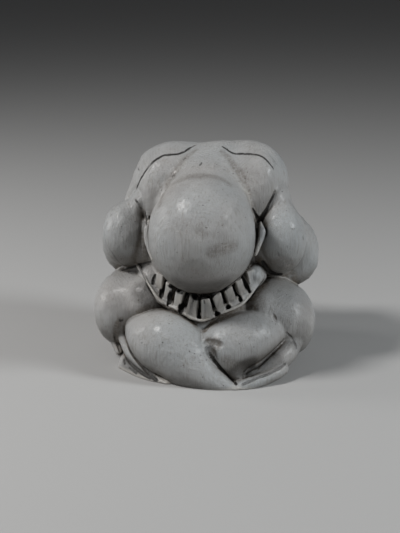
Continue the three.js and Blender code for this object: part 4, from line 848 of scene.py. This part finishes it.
height = maths("ADD", maths("MULTIPLY", fibre, 0.70), maths("MULTIPLY", maths("MULTIPLY", rings, here), 0.12))
height = maths("ADD", height, maths("MULTIPLY", fine, 0.42))
height = maths("ADD", height, maths("MULTIPLY", grit, 0.30))
height = maths("SUBTRACT", height, maths("MULTIPLY", specks, 0.8))
bump = node("ShaderNodeBump")
bump.inputs["Strength"].default_value = 0.85
bump.inputs["Distance"].default_value = 0.00085
into(bump.inputs["Height"], height)

shader = node("ShaderNodeBsdfPrincipled")
into(shader.inputs["Base Color"], colour)
into(shader.inputs["Roughness"], maths("ADD", ramp(blotch, 0.3, 0.7, 0.36, 0.48), maths("MULTIPLY", film, 0.3)))
into(shader.inputs["Normal"], bump.outputs[0])
shader.inputs["Specular IOR Level"].default_value = 0.5
into(shader.inputs["Coat Weight"], maths("MULTIPLY", maths("SUBTRACT", 1.0, maths("MAXIMUM", a_line, film)), 0.28, clamp=True))
shader.inputs["Coat Roughness"].default_value = 0.30
out = node("ShaderNodeOutputMaterial")
links.new(shader.outputs[0], out.inputs["Surface"])
mesh.materials.append(wood)

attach(figure, "root")
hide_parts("figure")

# ---------------------------------------------------------------- floor, lights, camera


def simple(name, colour, rough):
    m = bpy.data.materials.new(name)
    m.use_nodes = True
    b = m.node_tree.nodes["Principled BSDF"]
    b.inputs["Base Color"].default_value = (*colour, 1)
    b.inputs["Roughness"].default_value = rough
    return m


floor_mesh = bpy.data.meshes.new("floor")
floor_mesh.from_pydata([(-9, -9, 0), (9, -9, 0), (9, 9, 0), (-9, 9, 0)], [], [(0, 1, 2, 3)])
floor_mesh.materials.append(simple("floor", (0.47, 0.47, 0.465), 0.85))
floor = bpy.data.objects.new("floor", floor_mesh)
bpy.context.scene.collection.objects.link(floor)

SHIFT = Vector((centre[0], centre[1], 0)) * 0.001


def softbox(name, where, size, power, tone):
    lamp = bpy.data.lights.new(name, "AREA")
    lamp.shape, lamp.size, lamp.energy, lamp.color = "DISK", size, power, tone
    ob = bpy.data.objects.new(name, lamp)
    ob.location = where
    ob.rotation_euler = (Vector((0, 0, 0.05)) - Vector(where)).to_track_quat("-Z", "Y").to_euler()
    bpy.context.scene.collection.objects.link(ob)


softbox("key", (-0.46, -0.25, 0.70), 0.17, 4.4, (1.0, 0.985, 0.975))
softbox("second", (0.72, -0.16, 0.46), 0.22, 3.6, (0.95, 0.98, 1.0))
softbox("side", (-0.72, 0.10, 0.26), 0.22, 1.2, (1.0, 0.985, 0.975))

world = bpy.data.worlds.new("studio")
bpy.context.scene.world = world
world.use_nodes = True
world.node_tree.nodes["Background"].inputs[0].default_value = (0.80, 0.81, 0.83, 1)
world.node_tree.nodes["Background"].inputs[1].default_value = 0.06

AZIMUTH, ELEVATION, DISTANCE, FOCAL = 7.0, 16.0, 560.0, 1203.6
LOOK_AT = (-2.5, 0.0, 41.245)  # degrees, mm and pixels of a frame 533 high
a, e = math.radians(AZIMUTH), math.radians(ELEVATION)
back = Vector((math.sin(a) * math.cos(e), -math.cos(a) * math.cos(e), math.sin(e)))
right = Vector((math.cos(a), math.sin(a), 0))
up = back.cross(right)
pose = Matrix((right, up, back)).transposed().to_4x4()
pose.translation = Vector(LOOK_AT) * 0.001 + SHIFT + back * DISTANCE * 0.001
camera_data = bpy.data.cameras.new("camera")
camera_data.sensor_fit, camera_data.sensor_height = "VERTICAL", 36
camera_data.lens = FOCAL / 533 * 36
camera_data.clip_start, camera_data.clip_end = 0.02, 40
camera = bpy.data.objects.new("camera", camera_data)
camera.matrix_world = pose
bpy.context.scene.collection.objects.link(camera)
bpy.context.scene.camera = camera
bpy.context.scene.view_settings.view_transform = "Standard"
